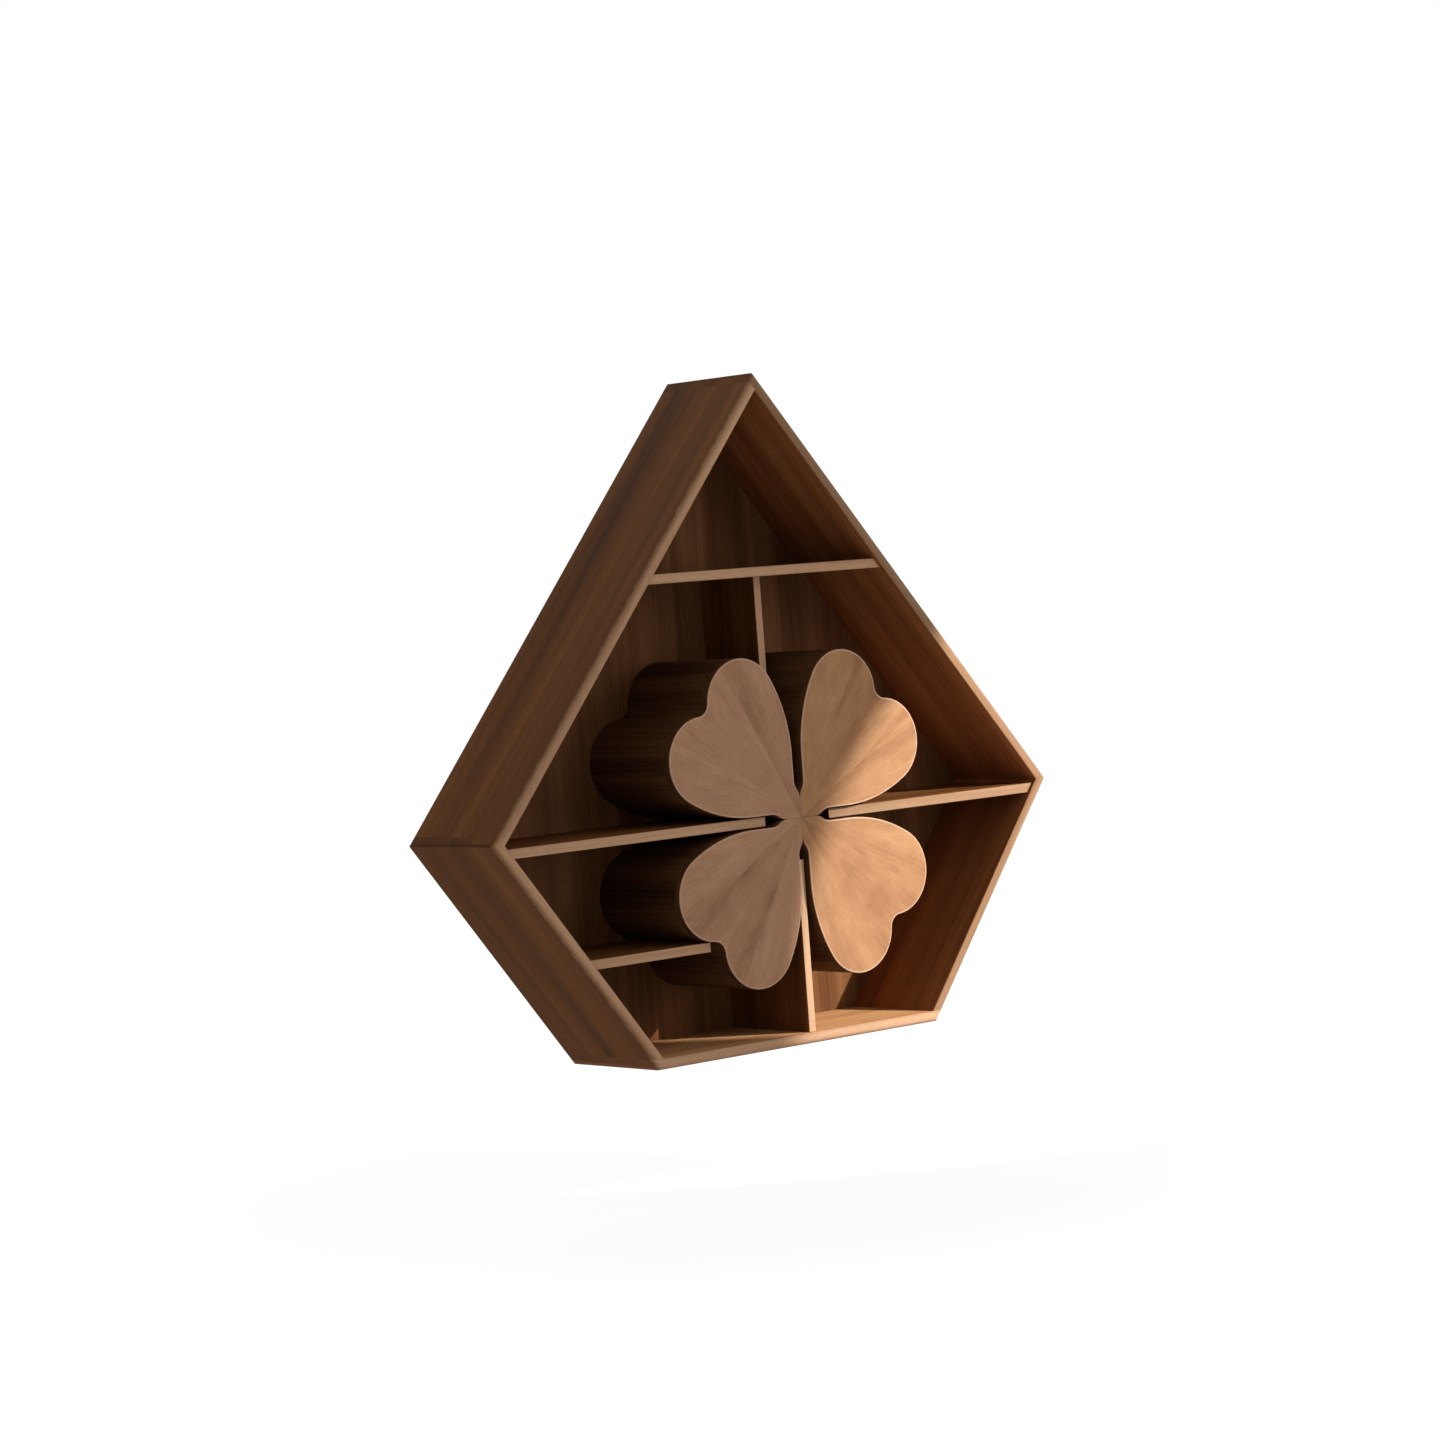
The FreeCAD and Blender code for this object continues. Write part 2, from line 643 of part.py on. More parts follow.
def heart_body(leaf, kind, stand_off, length, inset=None):
    """A whole heart: one half and its mirror image about the diagonal."""
    body = doc.addObject("PartDesign::Body", leaf.name + kind)
    body.Placement.Rotation = leaf.rotation
    bind(body, Placement__Base__x="@clover_offset", Placement__Base__z=CLOVER_LEVEL)
    drawing = HeartDrawing(body, leaf.name + kind + "_half", stand_off, inset)
    half = pad(body, drawing.sketch, length)
    mirrored = body.newObject("PartDesign::Mirrored", leaf.name + kind + "_mirrored")
    mirrored.Originals = [half]
    mirrored.MirrorPlane = (drawing.sketch, ["Axis0"])
    mirrored.Refine = True
    body.Tip = mirrored
    doc.recompute()
    return body, mirrored


def leaf_block(leaf, name, across, up, front, sizes):
    """A block in a leaf, placed from the clover's middle lines and by its front's distance from the wall."""
    feature = doc.addObject("Part::Box", leaf.name + "_" + name)
    length, depth, height = sizes
    x = across if leaf.across > 0 else "-(%s) - (%s)" % (across, length)
    z = up if leaf.up > 0 else "-(%s) - (%s)" % (up, height)
    bind(feature, Length=length, Width=depth, Height=height,
         Placement__Base__x="@clover_offset + " + x,
         Placement__Base__y="-(%s)" % front,
         Placement__Base__z="%s + %s" % (CLOVER_LEVEL, z))
    return feature


FLANK_INSIDE = "@flank_gap / 2 + @shell_wall"
BOX_WIDTH = "@cell_width - 2 * @runner_space"
BOX_NEAR = FLANK_INSIDE + " + @runner_space"
BOX_LOW = FLANK_INSIDE + " + @box_lift"
BOX_REAR = PANEL_FACE + " + @box_back_room"
BOX_DEPTH = "%s - (%s)" % (FRONT_REAR, BOX_REAR)
RAIL_FRONT = SHELL_FRONT + " - @rail_front_gap"
RAIL_LENGTH = "%s - (%s) - @rail_back_room" % (RAIL_FRONT, PANEL_FACE)
CHANNEL_DEPTH = "@runner_space - @rail_sheet - @rail_gap"


def leaf_shell(leaf):
    """The bent plywood shell, solid at its tip, from the back panel to just behind the leaf's front."""
    length = "%s - (%s)" % (SHELL_FRONT, PANEL_FACE)
    block, _ = heart_body(leaf, "_block", PANEL_FACE, length)
    hollow, _ = heart_body(leaf, "_hollow", PANEL_FACE, length, "@shell_wall")
    return cut(leaf.name + "_shell_blank", block, hollow), hollow


def leaf_web(leaf, hollow):
    """The upright board that carries the far runner, fitted to the inside of the shell."""
    reach = "@leaf_reach"
    slab = leaf_block(leaf, "web_slab", FLANK_INSIDE + " + @cell_width", "0", SHELL_FRONT,
                      ("@web_thickness", "%s - (%s)" % (SHELL_FRONT, PANEL_FACE), reach))
    web = doc.addObject("Part::Common", leaf.name + "_web_blank")
    web.Base = slab
    web.Tool = hollow
    doc.recompute()
    return web


def leaf_front(leaf):
    body, mirrored = heart_body(leaf, "_front_body", FRONT_REAR, "@front_thickness")
    round_front(body, mirrored, "@rim_round", lambda edge: True)
    return body


def drawer_box(leaf):
    """Left, right, front, back and bottom of the box behind a leaf's front."""
    under = BOX_LOW if leaf.up > 0 else BOX_LOW + " + @box_height - @box_floor"
    over = BOX_LOW + " + @box_floor" if leaf.up > 0 else BOX_LOW
    wall_height = "@box_height - @box_floor"
    far = "%s + %s - @box_board" % (BOX_NEAR, BOX_WIDTH)
    left, right = (BOX_NEAR, far) if leaf.across > 0 else (far, BOX_NEAR)
    between = BOX_NEAR + " + @box_board"
    between_width = BOX_WIDTH + " - 2 * @box_board"
    side = ("@box_board", BOX_DEPTH, wall_height)
    end = (between_width, "@box_board", wall_height)
    return {
        "box_left": leaf_block(leaf, "box_left", left, over, FRONT_REAR, side),
        "box_right": leaf_block(leaf, "box_right", right, over, FRONT_REAR, side),
        "box_front": leaf_block(leaf, "box_front", between, over, FRONT_REAR, end),
        "box_back": leaf_block(leaf, "box_back", between, over, BOX_REAR + " + @box_board", end),
        "box_bottom": leaf_block(leaf, "box_bottom", BOX_NEAR, under, FRONT_REAR,
                                 (BOX_WIDTH, BOX_DEPTH, "@box_floor")),
    }


def channel(leaf, name, across, height, bore_across):
    """A rail of folded steel: a bar with a slot along one of its broad sides."""
    up = "@rail_level - (%s) / 2" % height
    bar = leaf_block(leaf, name + "_bar", across, up, RAIL_FRONT, (CHANNEL_DEPTH, RAIL_LENGTH, height))
    slot = leaf_block(leaf, name + "_slot", bore_across, up + " + @rail_sheet", RAIL_FRONT,
                      (CHANNEL_DEPTH, RAIL_LENGTH, "%s - 2 * @rail_sheet" % height))
    return cut(leaf.name + "_" + name, bar, slot)


def rails(leaf):
    """The case rails on the shell's flank and on the web, and the drawer rails that run in them."""
    near = FLANK_INSIDE
    far = "%s + @cell_width - (%s)" % (FLANK_INSIDE, CHANNEL_DEPTH)
    inner_height = "@rail_height - 2 * @rail_sheet - 2 * @rail_gap"
    drawer_near = near + " + @rail_sheet + @rail_gap"
    drawer_far = far + " - @rail_sheet - @rail_gap"
    case_pair = [
        channel(leaf, "near_case_rail", near, "@rail_height", near + " + @rail_sheet"),
        channel(leaf, "far_case_rail", far, "@rail_height", far + " - @rail_sheet"),
    ]
    drawer_pair = [
        channel(leaf, "near_drawer_rail", drawer_near, inner_height, drawer_near + " - @rail_sheet"),
        channel(leaf, "far_drawer_rail", drawer_far, inner_height, drawer_far + " + @rail_sheet"),
    ]
    case_rails = group(leaf.name + "_case_rail_pair", case_pair)
    drawer_rails = group(leaf.name + "_drawer_rail_pair", drawer_pair)
    return case_rails, drawer_rails


def rail_screw(leaf, name, near, inset):
    """A screw along X through a case rail, with its head inside the channel."""
    inner_face = FLANK_INSIDE + (" + @rail_sheet" if near else " + @cell_width - @rail_sheet")
    outwards = leaf.across * (-1 if near else 1)
    way, back = (TOWARDS_RIGHT, TOWARDS_LEFT) if outwards > 0 else (TOWARDS_LEFT, TOWARDS_RIGHT)
    x = "@clover_offset + %d * (%s)" % (leaf.across, inner_face)
    y = "-(%s - (%s))" % (RAIL_FRONT, inset)
    z = "%s + %d * @rail_level" % (CLOVER_LEVEL, leaf.up)
    stem = "%s_%s_rail_screw" % (leaf.name, name)
    screw = doc.addObject("Part::Fuse", stem)
    screw.Base = rod(stem + "_shank", "@rail_screw_radius", "@rail_screw_length", way, x, y, z)
    screw.Tool = rod(stem + "_head", "@rail_screw_head", "@rail_screw_head_height", back, x, y, z)
    return screw


def leaf_rail_screws(leaf):
    front = "@rail_screw_inset"
    back = RAIL_LENGTH + " - @rail_screw_inset"
    return [
        rail_screw(leaf, "near_front", True, front),
        rail_screw(leaf, "near_back", True, back),
        rail_screw(leaf, "far_front", False, front),
        rail_screw(leaf, "far_back", False, back),
    ]


# Screws through the back panel, into the rear edges of the boards and shells before it

SHELF_SCREW = "@screw_inset + %d * @screw_spacing"


def panel_screw(number, x, z):
    """A countersunk screw towards the room, its head flush with the panel's rear face."""
    stem = "panel_screw_%d" % number
    place = dict(Placement__Base__x=x, Placement__Base__y="-@wall_gap",
                 Placement__Base__z="%s + %s" % (LEVEL, z))
    head = doc.addObject("Part::Cone", stem + "_head")
    head.Placement.Rotation = TOWARDS_ROOM
    bind(head, Radius1="@screw_head_radius", Radius2="@screw_radius", Height="@screw_head_height", **place)
    shank = doc.addObject("Part::Cylinder", stem + "_shank")
    shank.Placement.Rotation = TOWARDS_ROOM
    bind(shank, Radius="@screw_radius", Height="@screw_length", **place)
    screw = doc.addObject("Part::Fuse", stem)
    screw.Base = head
    screw.Tool = shank
    return screw


def panel_screw_places():
    """Across and up from the crossing of the case's middle line and the level of its side corners."""
    drop = "(@clover_drop + %s + @lobe_radius + @low_shelf_gap + @shelf_thickness / 2)" % LOBE_NEAR
    narrowing = "(@half_width - @foot_half_width) / @foot_drop * " + drop
    shelf_end = "(@centre_clearance + %s)"
    places = []
    for step in range(-1, 2):
        places.append(("%d * @screw_spacing" % step, "@top_shelf_level - @shelf_thickness / 2"))
    for step in range(3):
        inset = shelf_end % (SHELF_SCREW % step)
        places.append(("@clover_offset - " + inset, "-@clover_drop"))
        places.append(("@clover_offset + " + inset, "-@clover_drop"))
    places.append(("@clover_offset - @low_shelf_end - @screw_inset - " + LOBE_FAR, "-" + drop))
    places.append((narrowing + " + @board_thickness + @screw_inset - @half_width", "-" + drop))
    for step in range(2):
        inset = SHELF_SCREW % step
        places.append(("@clover_offset", "@top_shelf_level - @shelf_thickness - (%s)" % inset))
        places.append(("@clover_offset", "@board_thickness - @foot_drop + " + inset))
    flank = ("@flank_gap / 2 + @shell_wall / 2", "@flank_level")
    crown = (LOBE_NEAR, "@leaf_reach - @shell_wall / 2")
    for leaf in LEAVES:
        for pair in (flank, flank[::-1], crown, crown[::-1]):
            across, up = pair
            places.append(("@clover_offset + %d * (%s)" % (leaf.across, across),
                           "-@clover_drop + %d * (%s)" % (leaf.up, up)))
    return places


# Dowels: half in the board that ends, half in the board whose face it meets

TOWARDS_TOP = FreeCAD.Vector(0, 0, 1)


def middle_line(side):
    """The line in the middle of a case board's thickness."""
    along = side_direction(side)
    return corner_place(SIDES[side][0]) - left_of(along) * (size("board_thickness") / 2), along


def inner_face(side):
    along = side_direction(side)
    return corner_place(SIDES[side][0]) - left_of(along) * size("board_thickness"), along


def middle_level(blank):
    """The horizontal line in the middle of a piece's height."""
    level = blank.Shape.BoundBox.Center.z + size("rail_rise")
    return FreeCAD.Vector(0, level, 0), HORIZONTAL


def dowel_row(name, middle, face, depths):
    """Dowels along a middle line at some depths from the wall, centred on the face that it meets."""
    place = crossing(middle, face)
    along = FreeCAD.Vector(middle[1].x, 0, middle[1].y)
    start = FreeCAD.Vector(place.x, 0, place.y - size("rail_rise")) - along * (size("dowel_length") / 2)
    row = []
    for number, depth in enumerate(depths, start=1):
        dowel = doc.addObject("Part::Cylinder", "%s_dowel_%d" % (name, number))
        bind(dowel, Radius="@dowel_radius", Height="@dowel_length")
        base = start - FreeCAD.Vector(0, depth, 0)
        dowel.Placement = FreeCAD.Placement(base, FreeCAD.Rotation(TOWARDS_TOP, along))
        row.append(dowel)
    return row


def depths_between(rear, front):
    return rear + size("dowel_inset"), front - size("dowel_inset")


def all_dowels():
    depth = size("case_depth")
    panel_face = size("wall_gap") + size("back_thickness")
    case = depths_between(0, depth)
    inside = depths_between(panel_face, depth - size("shelf_setback"))
    set_back = depths_between(panel_face, depth - size("upper_setback"))
    cleat = (size("wall_gap") - size("cleat_thickness") / 2,)
    divider = FreeCAD.Vector(size("clover_offset"), 0, 0), VERTICAL
    head = FreeCAD.Vector(0, size("top_shelf_level") - size("shelf_thickness"), 0), HORIZONTAL
    level = {name: middle_level(blanks[name]) for name in (*SHELVES, "case_cleat")}
    joints = {
        "apex": (middle_line("upper_left"), inner_face("upper_right"), case),
        "left_corner": (middle_line("upper_left"), inner_face("lower_left"), case),
        "right_corner": (middle_line("upper_right"), inner_face("lower_right"), case),
        "left_foot": (middle_line("lower_left"), inner_face("bottom"), case),
        "right_foot": (middle_line("lower_right"), inner_face("bottom"), case),
        "top_shelf_left": (level["top_shelf"], inner_face("upper_left"), inside),
        "top_shelf_right": (level["top_shelf"], inner_face("upper_right"), inside),
        "left_shelf": (level["left_shelf"], inner_face("lower_left"), inside),
        "right_shelf": (level["right_shelf"], inner_face("lower_right"), inside),
        "lower_left_shelf": (level["lower_left_shelf"], inner_face("lower_left"), inside),
        "upper_divider": (divider, head, set_back),
        "lower_divider": (divider, inner_face("bottom"), inside),
        "case_cleat_left": (level["case_cleat"], inner_face("upper_left"), cleat),
        "case_cleat_right": (level["case_cleat"], inner_face("upper_right"), cleat),
    }
    return [dowel for name, joint in joints.items() for dowel in dowel_row(name, *joint)]


# The pieces: each wooden one, and each case rail, is bored for the dowels and screws in it

fasteners = {
    "dowels": all_dowels(),
    "panel_screws": [panel_screw(number, *place) for number, place in enumerate(panel_screw_places())],
    "rail_screws": [screw for leaf in LEAVES for screw in leaf_rail_screws(leaf)],
}
pieces = {name: group(name, members) for name, members in fasteners.items()}
bores = group("bores", list(pieces.values()))
solid_counts = {name: len(members) for name, members in fasteners.items()}

for name, blank in blanks.items():
    pieces[name] = cut(name, blank, bores)
pieces["wall_cleat"] = cut("wall_cleat", bevelled_wall_cleat, bolt_holes)
for leaf in LEAVES:
    shell_blank, hollow = leaf_shell(leaf)
    case_rails, drawer_rails = rails(leaf)
    pieces[leaf.name + "_shell"] = cut(leaf.name + "_shell", shell_blank, bores)
    pieces[leaf.name + "_web"] = cut(leaf.name + "_web", leaf_web(leaf, hollow), bores)
    pieces[leaf.name + "_case_rails"] = cut(leaf.name + "_case_rails", case_rails, bores)
    pieces[leaf.name + "_drawer_rails"] = drawer_rails
    pieces[leaf.name + "_front"] = leaf_front(leaf)
    for piece, block in drawer_box(leaf).items():
        pieces[leaf.name + "_" + piece] = block
    for kind in ("_case_rails", "_drawer_rails"):
        solid_counts[leaf.name + kind] = 2
doc.recompute()

for item in doc.Objects:
    if "Invalid" in item.State or "Error" in item.State:
        raise RuntimeError("%s did not compute" % item.Name)
for node, piece in pieces.items():
    piece.Label = node
    shape = piece.Shape
    if shape.isNull() or not shape.isValid():
        raise RuntimeError("%s has no valid shape" % node)
    if len(shape.Solids) != solid_counts.get(node, 1):
        raise RuntimeError("%s has %d solids" % (node, len(shape.Solids)))

os.makedirs("parts", exist_ok=True)
for node, piece in pieces.items():
    piece.Shape.exportStep("parts/%s.step" % node)
print("%d pieces written" % len(pieces))
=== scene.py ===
"""Looks of the wall bookcase: walnut boards, a clover of four heart shaped leaves, and the drawers in it."""

import math

import bpy
import numpy as np
from mathutils import Matrix, Vector


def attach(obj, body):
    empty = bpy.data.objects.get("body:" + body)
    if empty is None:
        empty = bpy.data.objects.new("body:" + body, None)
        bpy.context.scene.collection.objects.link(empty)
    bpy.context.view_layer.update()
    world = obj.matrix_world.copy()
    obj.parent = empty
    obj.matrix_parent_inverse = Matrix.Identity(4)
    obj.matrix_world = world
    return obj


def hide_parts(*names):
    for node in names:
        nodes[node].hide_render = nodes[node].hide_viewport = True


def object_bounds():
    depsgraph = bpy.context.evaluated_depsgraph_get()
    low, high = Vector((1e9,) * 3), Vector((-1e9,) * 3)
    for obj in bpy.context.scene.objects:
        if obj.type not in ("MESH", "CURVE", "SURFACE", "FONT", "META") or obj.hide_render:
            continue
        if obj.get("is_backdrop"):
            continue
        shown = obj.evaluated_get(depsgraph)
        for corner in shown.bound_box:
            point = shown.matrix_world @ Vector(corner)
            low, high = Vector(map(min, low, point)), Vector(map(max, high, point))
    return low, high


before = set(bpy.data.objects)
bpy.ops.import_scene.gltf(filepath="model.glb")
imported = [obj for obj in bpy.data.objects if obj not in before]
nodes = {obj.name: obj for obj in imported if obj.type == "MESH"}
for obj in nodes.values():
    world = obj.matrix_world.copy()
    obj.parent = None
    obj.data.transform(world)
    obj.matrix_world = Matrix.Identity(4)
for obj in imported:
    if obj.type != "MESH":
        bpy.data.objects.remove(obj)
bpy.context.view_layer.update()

# Sizes in metres. X runs from left to right, Y from front to back with the mounting plane at 0, and Z up.
BOARD = 0.025
CASE_FRONT = -0.307
OUTER_ROUND = 0.010
INNER_ROUND = 0.0025
REAR_ROUND = 0.0006
EASED = 0.0005
PANEL_FACE = -0.028
SHELF = 0.022
SHELF_FRONT = -0.297
SHELF_ROUND = 0.0015
DIVIDER = 0.020
UPPER_DIVIDER_FRONT = -0.217
TOP_SHELF_LEVEL = -0.010
CLOVER = np.array((0.040, -0.580))
CLEAR_OF_CLOVER = 0.095
LOW_SHELF_LEVEL = -0.829885
LOW_SHELF_END = -0.240

# The leaves: a heart in its own frame, with its tip at the clover's middle and its notch on the diagonal
SEAM = 0.00025
SEAM_LENGTH = 0.042
BLEND_LENGTH = 0.044
FLANK = 0.014
FLANK_LEVEL = 0.142
FLANK_RADIUS = 0.348
LOBE_RADIUS = 0.100
LEAF_REACH = 0.370
NOTCH_RADIUS = 0.030
LEAF_FRONT = -0.312
LEAF_BACK = -0.294
RIM_ROUND = 0.002
RIM_TIP_ROUND = 0.0005
RIM_BAND = 0.0034
BAND_LEAST = 0.0001
BAND_BLEND = 0.0003
SHELL_FRONT = -0.292
SHELL_WALL = 0.012

# The drawers, measured from the clover's middle
BOX_NEAR = 0.036
BOX_FAR = 0.222
BOX_LOW = 0.044
BOX_HIGH = 0.209
BOX_BOARD = 0.010
BOX_FLOOR = 0.006
BOX_BACK = -0.044

# The runners, as folded steel sheet: a rail's place from the clover's middle, the side it opens to and its
# height. A screw has a head radius, a shank radius, a length and a head height.
RAIL_LEVEL = 0.100
RAIL_FRONT = -0.288
RAIL_BACK = -0.048
RAIL_SHEET = 0.0015
RAIL_DEPTH = 0.008
RAIL_BEND = 0.0025
RAIL_EASED = EASED / 2
CASE_RAILS = ((0.026, 1, 0.034), (0.232, -1, 0.034))
DRAWER_RAILS = ((0.036, -1, 0.030), (0.222, 1, 0.030))
RAIL_SCREW = (0.0030, 0.0015, 0.009, 0.0018)
RAIL_SCREW_DEPTHS = (-0.258, -0.078)
WEB = (0.232, 0.244)
PANEL_REAR = -0.020
PANEL_SCREW = (0.0035, 0.00175, 0.038, 0.0025)
SCREW_INSET = 0.045
SCREW_SPACING = 0.260

CORNERS = [(0.0, 0.423), (0.820, -0.560), (0.415, -1.091), (-0.415, -1.091), (-0.820, -0.560)]
SIDES = ["upper_right", "lower_right", "bottom", "lower_left", "upper_left"]
LEAVES = {
    "upper_right": np.array(((1, 0), (0, 1))),
    "lower_right": np.array(((0, 1), (-1, 0))),
    "lower_left": np.array(((-1, 0), (0, -1))),
    "upper_left": np.array(((0, -1), (1, 0))),
}

FRONT_VIEW = (0, 2, 1)
SIDE_VIEW = (2, 1, 0)
TOP_VIEW = (1, 0, 2)


# Camera and light, with the camera's yaw, pitch and roll in degrees

CAMERA_PLACE = (-5.700, -6.948, -0.018)
CAMERA_TURN = (39.77, -2.15, -4.27)
SENSOR_WIDTH = 36.0
FOCAL_PIXELS = 3903
FRAME_PIXELS = 1440


def new_object(name, data):
    """An object with this data, in the scene."""
    made = bpy.data.objects.new(name, data)
    bpy.context.scene.collection.objects.link(made)
    return made


def aim_camera():
    """The camera looks along (sin yaw cos pitch, cos yaw cos pitch, sin pitch) and is rolled about it."""
    yaw, pitch, roll = (math.radians(angle) for angle in CAMERA_TURN)
    forward = Vector((math.sin(yaw) * math.cos(pitch), math.cos(yaw) * math.cos(pitch), math.sin(pitch)))
    level = Vector((math.cos(yaw), -math.sin(yaw), 0.0))
    upright = level.cross(forward)
    right = math.cos(roll) * level + math.sin(roll) * upright
    top = math.cos(roll) * upright - math.sin(roll) * level
    camera = new_object("camera", bpy.data.cameras.new("camera"))
    camera.matrix_world = Matrix((right, top, -forward)).transposed().to_4x4()
    camera.location = CAMERA_PLACE
    camera.data.sensor_width = SENSOR_WIDTH
    camera.data.lens = SENSOR_WIDTH * FOCAL_PIXELS / FRAME_PIXELS
    camera.data.clip_end = 100.0
    bpy.context.scene.camera = camera


def hang(light, place, aim):
    """The light at its place, turned to the point it is aimed at."""
    lamp = new_object(light.name, light)
    lamp.location = place
    lamp.rotation_euler = (Vector(aim) - Vector(place)).to_track_quat("-Z", "Y").to_euler()


def soft_box(name, place, aim, width, watts):
    """A square lamp, whose light is broad and its shadows soft."""
    light = bpy.data.lights.new(name, "AREA")
    light.size = width
    light.energy = watts
    hang(light, place, aim)


def sunbeam(name, place, aim, radius, watts, cone, blend):
    """A round beam as wide as the cone in degrees. The source is small, so its border is clear."""
    light = bpy.data.lights.new(name, "SPOT")
    light.shadow_soft_size = radius
    light.energy = watts
    light.spot_size = math.radians(cone)
    light.spot_blend = blend
    hang(light, place, aim)


def seen_directly(tree):
    """1 for rays that show the background itself, in the camera, in a reflection or through glass."""
    path = tree.nodes.new("ShaderNodeLightPath")
    total = path.outputs["Is Camera Ray"]
    for other in ("Is Glossy Ray", "Is Transmission Ray"):
        either = tree.nodes.new("ShaderNodeMath")
        either.operation = "MAXIMUM"
        tree.links.new(total, either.inputs[0])
        tree.links.new(path.outputs[other], either.inputs[1])
        total = either.outputs[0]
    return total


def light_studio(ambient):
    """White wherever the background is seen, and a plain even light of the ambient strength elsewhere."""
    world = bpy.data.worlds.new("studio")
    bpy.context.scene.world = world
    world.use_nodes = True
    tree = world.node_tree
    tree.nodes.clear()
    mix = tree.nodes.new("ShaderNodeMixShader")
    output = tree.nodes.new("ShaderNodeOutputWorld")
    tree.links.new(seen_directly(tree), mix.inputs[0])
    for socket, strength in ((1, ambient), (2, 1.0)):
        background = tree.nodes.new("ShaderNodeBackground")
        background.inputs["Color"].default_value = (1.0, 1.0, 1.0, 1.0)
        background.inputs["Strength"].default_value = strength
        tree.links.new(background.outputs[0], mix.inputs[socket])
    tree.links.new(mix.outputs[0], output.inputs[0])


# Shapes as arrays

def line(start, end, inwards=0.0):
    """The line from start to end, moved to its right by inwards: all p with normal . p = level."""
    step = np.subtract(end, start)
    normal = np.array((step[1], -step[0])) / np.hypot(*step)
    return normal, normal @ start + inwards


def level_line(z):
    """All points at the height z, as a normal and its level."""
    return np.array((0.0, 1.0)), z


def upright_line(x):
    """All points at this x, as a normal and its level."""
    return np.array((1.0, 0.0)), x


def outline(*lines):
    """Corners where each line meets the next. The lines run clockwise, and the corners the other way."""
    pairs = zip(lines, lines[1:] + lines[:1])
    corners = [np.linalg.solve((first[0], second[0]), (first[1], second[1])) for first, second in pairs]
    return np.array(corners[::-1])


CURVE_COSINE = 0.95


def drawn_in(corners, insets):
    """Each edge of a counter-clockwise outline moved inwards by its own inset, for every row of insets.

    With n and m the inward normals of the edges before and after a corner, and a + b and a - b their
    insets, the corner moves by a (n + m) / (1 + n.m) + b (n - m) / (1 - n.m). On a curve, where n.m is
    nearly 1, only the first term counts."""
    step = np.roll(corners, -1, axis=0) - corners
    after = np.stack((-step[:, 1], step[:, 0]), axis=1) / np.linalg.norm(step, axis=1, keepdims=True)
    before = np.roll(after, 1, axis=0)
    cosine = np.sum(before * after, axis=1)
    insets_before = np.roll(insets, 1, axis=-1)
    mean = (insets_before + insets) / 2
    half = (insets_before - insets) / 2
    turns = cosine < CURVE_COSINE
    inwards = mean / (1.0 + cosine)
    sideways = half * turns / np.where(turns, 1.0 - cosine, 1.0)
    return corners + inwards[..., None] * (before + after) + sideways[..., None] * (before - after)


def rounding(radii, steps):
    """Depths d = R (1 - cos t) behind a face, and there each edge of radius r comes in by
    r - sqrt(r^2 - (r - d)^2)."""
    depths = radii.max() * (1.0 - np.cos(np.linspace(0.0, math.pi / 2, steps + 1)))
    short = np.clip(radii - depths[:, None], 0.0, None)
    return depths, radii - np.sqrt(radii ** 2 - short ** 2)


def ring_faces(rings, count, closed=False):
    """Quads between each ring of points and the next, for counter-clockwise rings, the first in front."""
    last = rings if closed else rings - 1
    ring, spot = np.meshgrid(np.arange(last), np.arange(count), indexing="ij")
    behind = (ring + 1) % rings
    beside = (spot + 1) % count
    return np.stack((ring * count + spot, behind * count + spot, behind * count + beside,
                     ring * count + beside), axis=-1).reshape(-1, 4)


FAR_STEPS = 2


def plate(corners, near, far, round_near, round_far, ends, band=None, view=FRONT_VIEW, steps=6):
    """A flat board: the outline carried from a near to a far face, drawn in at both by the rounding.

    band, how wide it is along each edge, adds two rings on the near face, so that the band outside them can
    have its own finish. The point values are front (1 on the near face, or up to 1 on the band), arris (1 in
    the middle of a rounding) and through (0 at the near face, 1 at the far one). The face value end is that
    edge's value in ends, but 0 on a band and the rounding beside it."""
    count = len(corners)
    near_depths, near_insets = rounding(np.broadcast_to(round_near, count).astype(float), steps)
    far_depths, far_insets = rounding(np.broadcast_to(round_far, count).astype(float), FAR_STEPS)
    levels = np.concatenate((near + near_depths, far - far_depths[::-1]))
    insets = np.concatenate((near_insets, far_insets[::-1]))
    turned = np.linspace(0.0, 1.0, steps + 1)
    front = np.concatenate((1.0 - turned, np.zeros(FAR_STEPS + 1)))
    arris = np.concatenate((np.sin(turned * math.pi), (0.0, 1.0, 0.0)))
    banded = np.ones(count)
    plain_rings = 0
    if band is not None:
        levels = np.concatenate(((near, near), levels))
        insets = np.concatenate(((band + BAND_BLEND, band), insets))
        front = np.concatenate(((0.0, 1.0), front))
        arris = np.concatenate(((0.0, 0.0), arris))
        banded = band / band.max()
        plain_rings = steps + 2
    rings = len(levels)
    side = np.arange(rings - 1) >= plain_rings
    points = np.empty((rings, count, 3))
    points[..., list(view[:2])] = drawn_in(corners, insets)
    points[..., view[2]] = levels[:, None]
    quads = ring_faces(rings, count)
    caps = [list(range(count)), list(range(rings * count - 1, (rings - 1) * count - 1, -1))]
    through = (levels - near) / (far - near)
    return {
        "points": points.reshape(-1, 3),
        "faces": quads.tolist() + caps,
        "front": np.outer(front, banded).ravel(),
        "arris": np.repeat(arris, count),
        "through": np.repeat(through, count),
        "end": np.concatenate((np.outer(side, np.asarray(ends, float)).ravel(), (0.0, 0.0))),
    }


def box_corners(low, high):
    """A rectangle's corners, counter-clockwise."""
    return np.array(((low[0], low[1]), (high[0], low[1]), (high[0], high[1]), (low[0], high[1])))


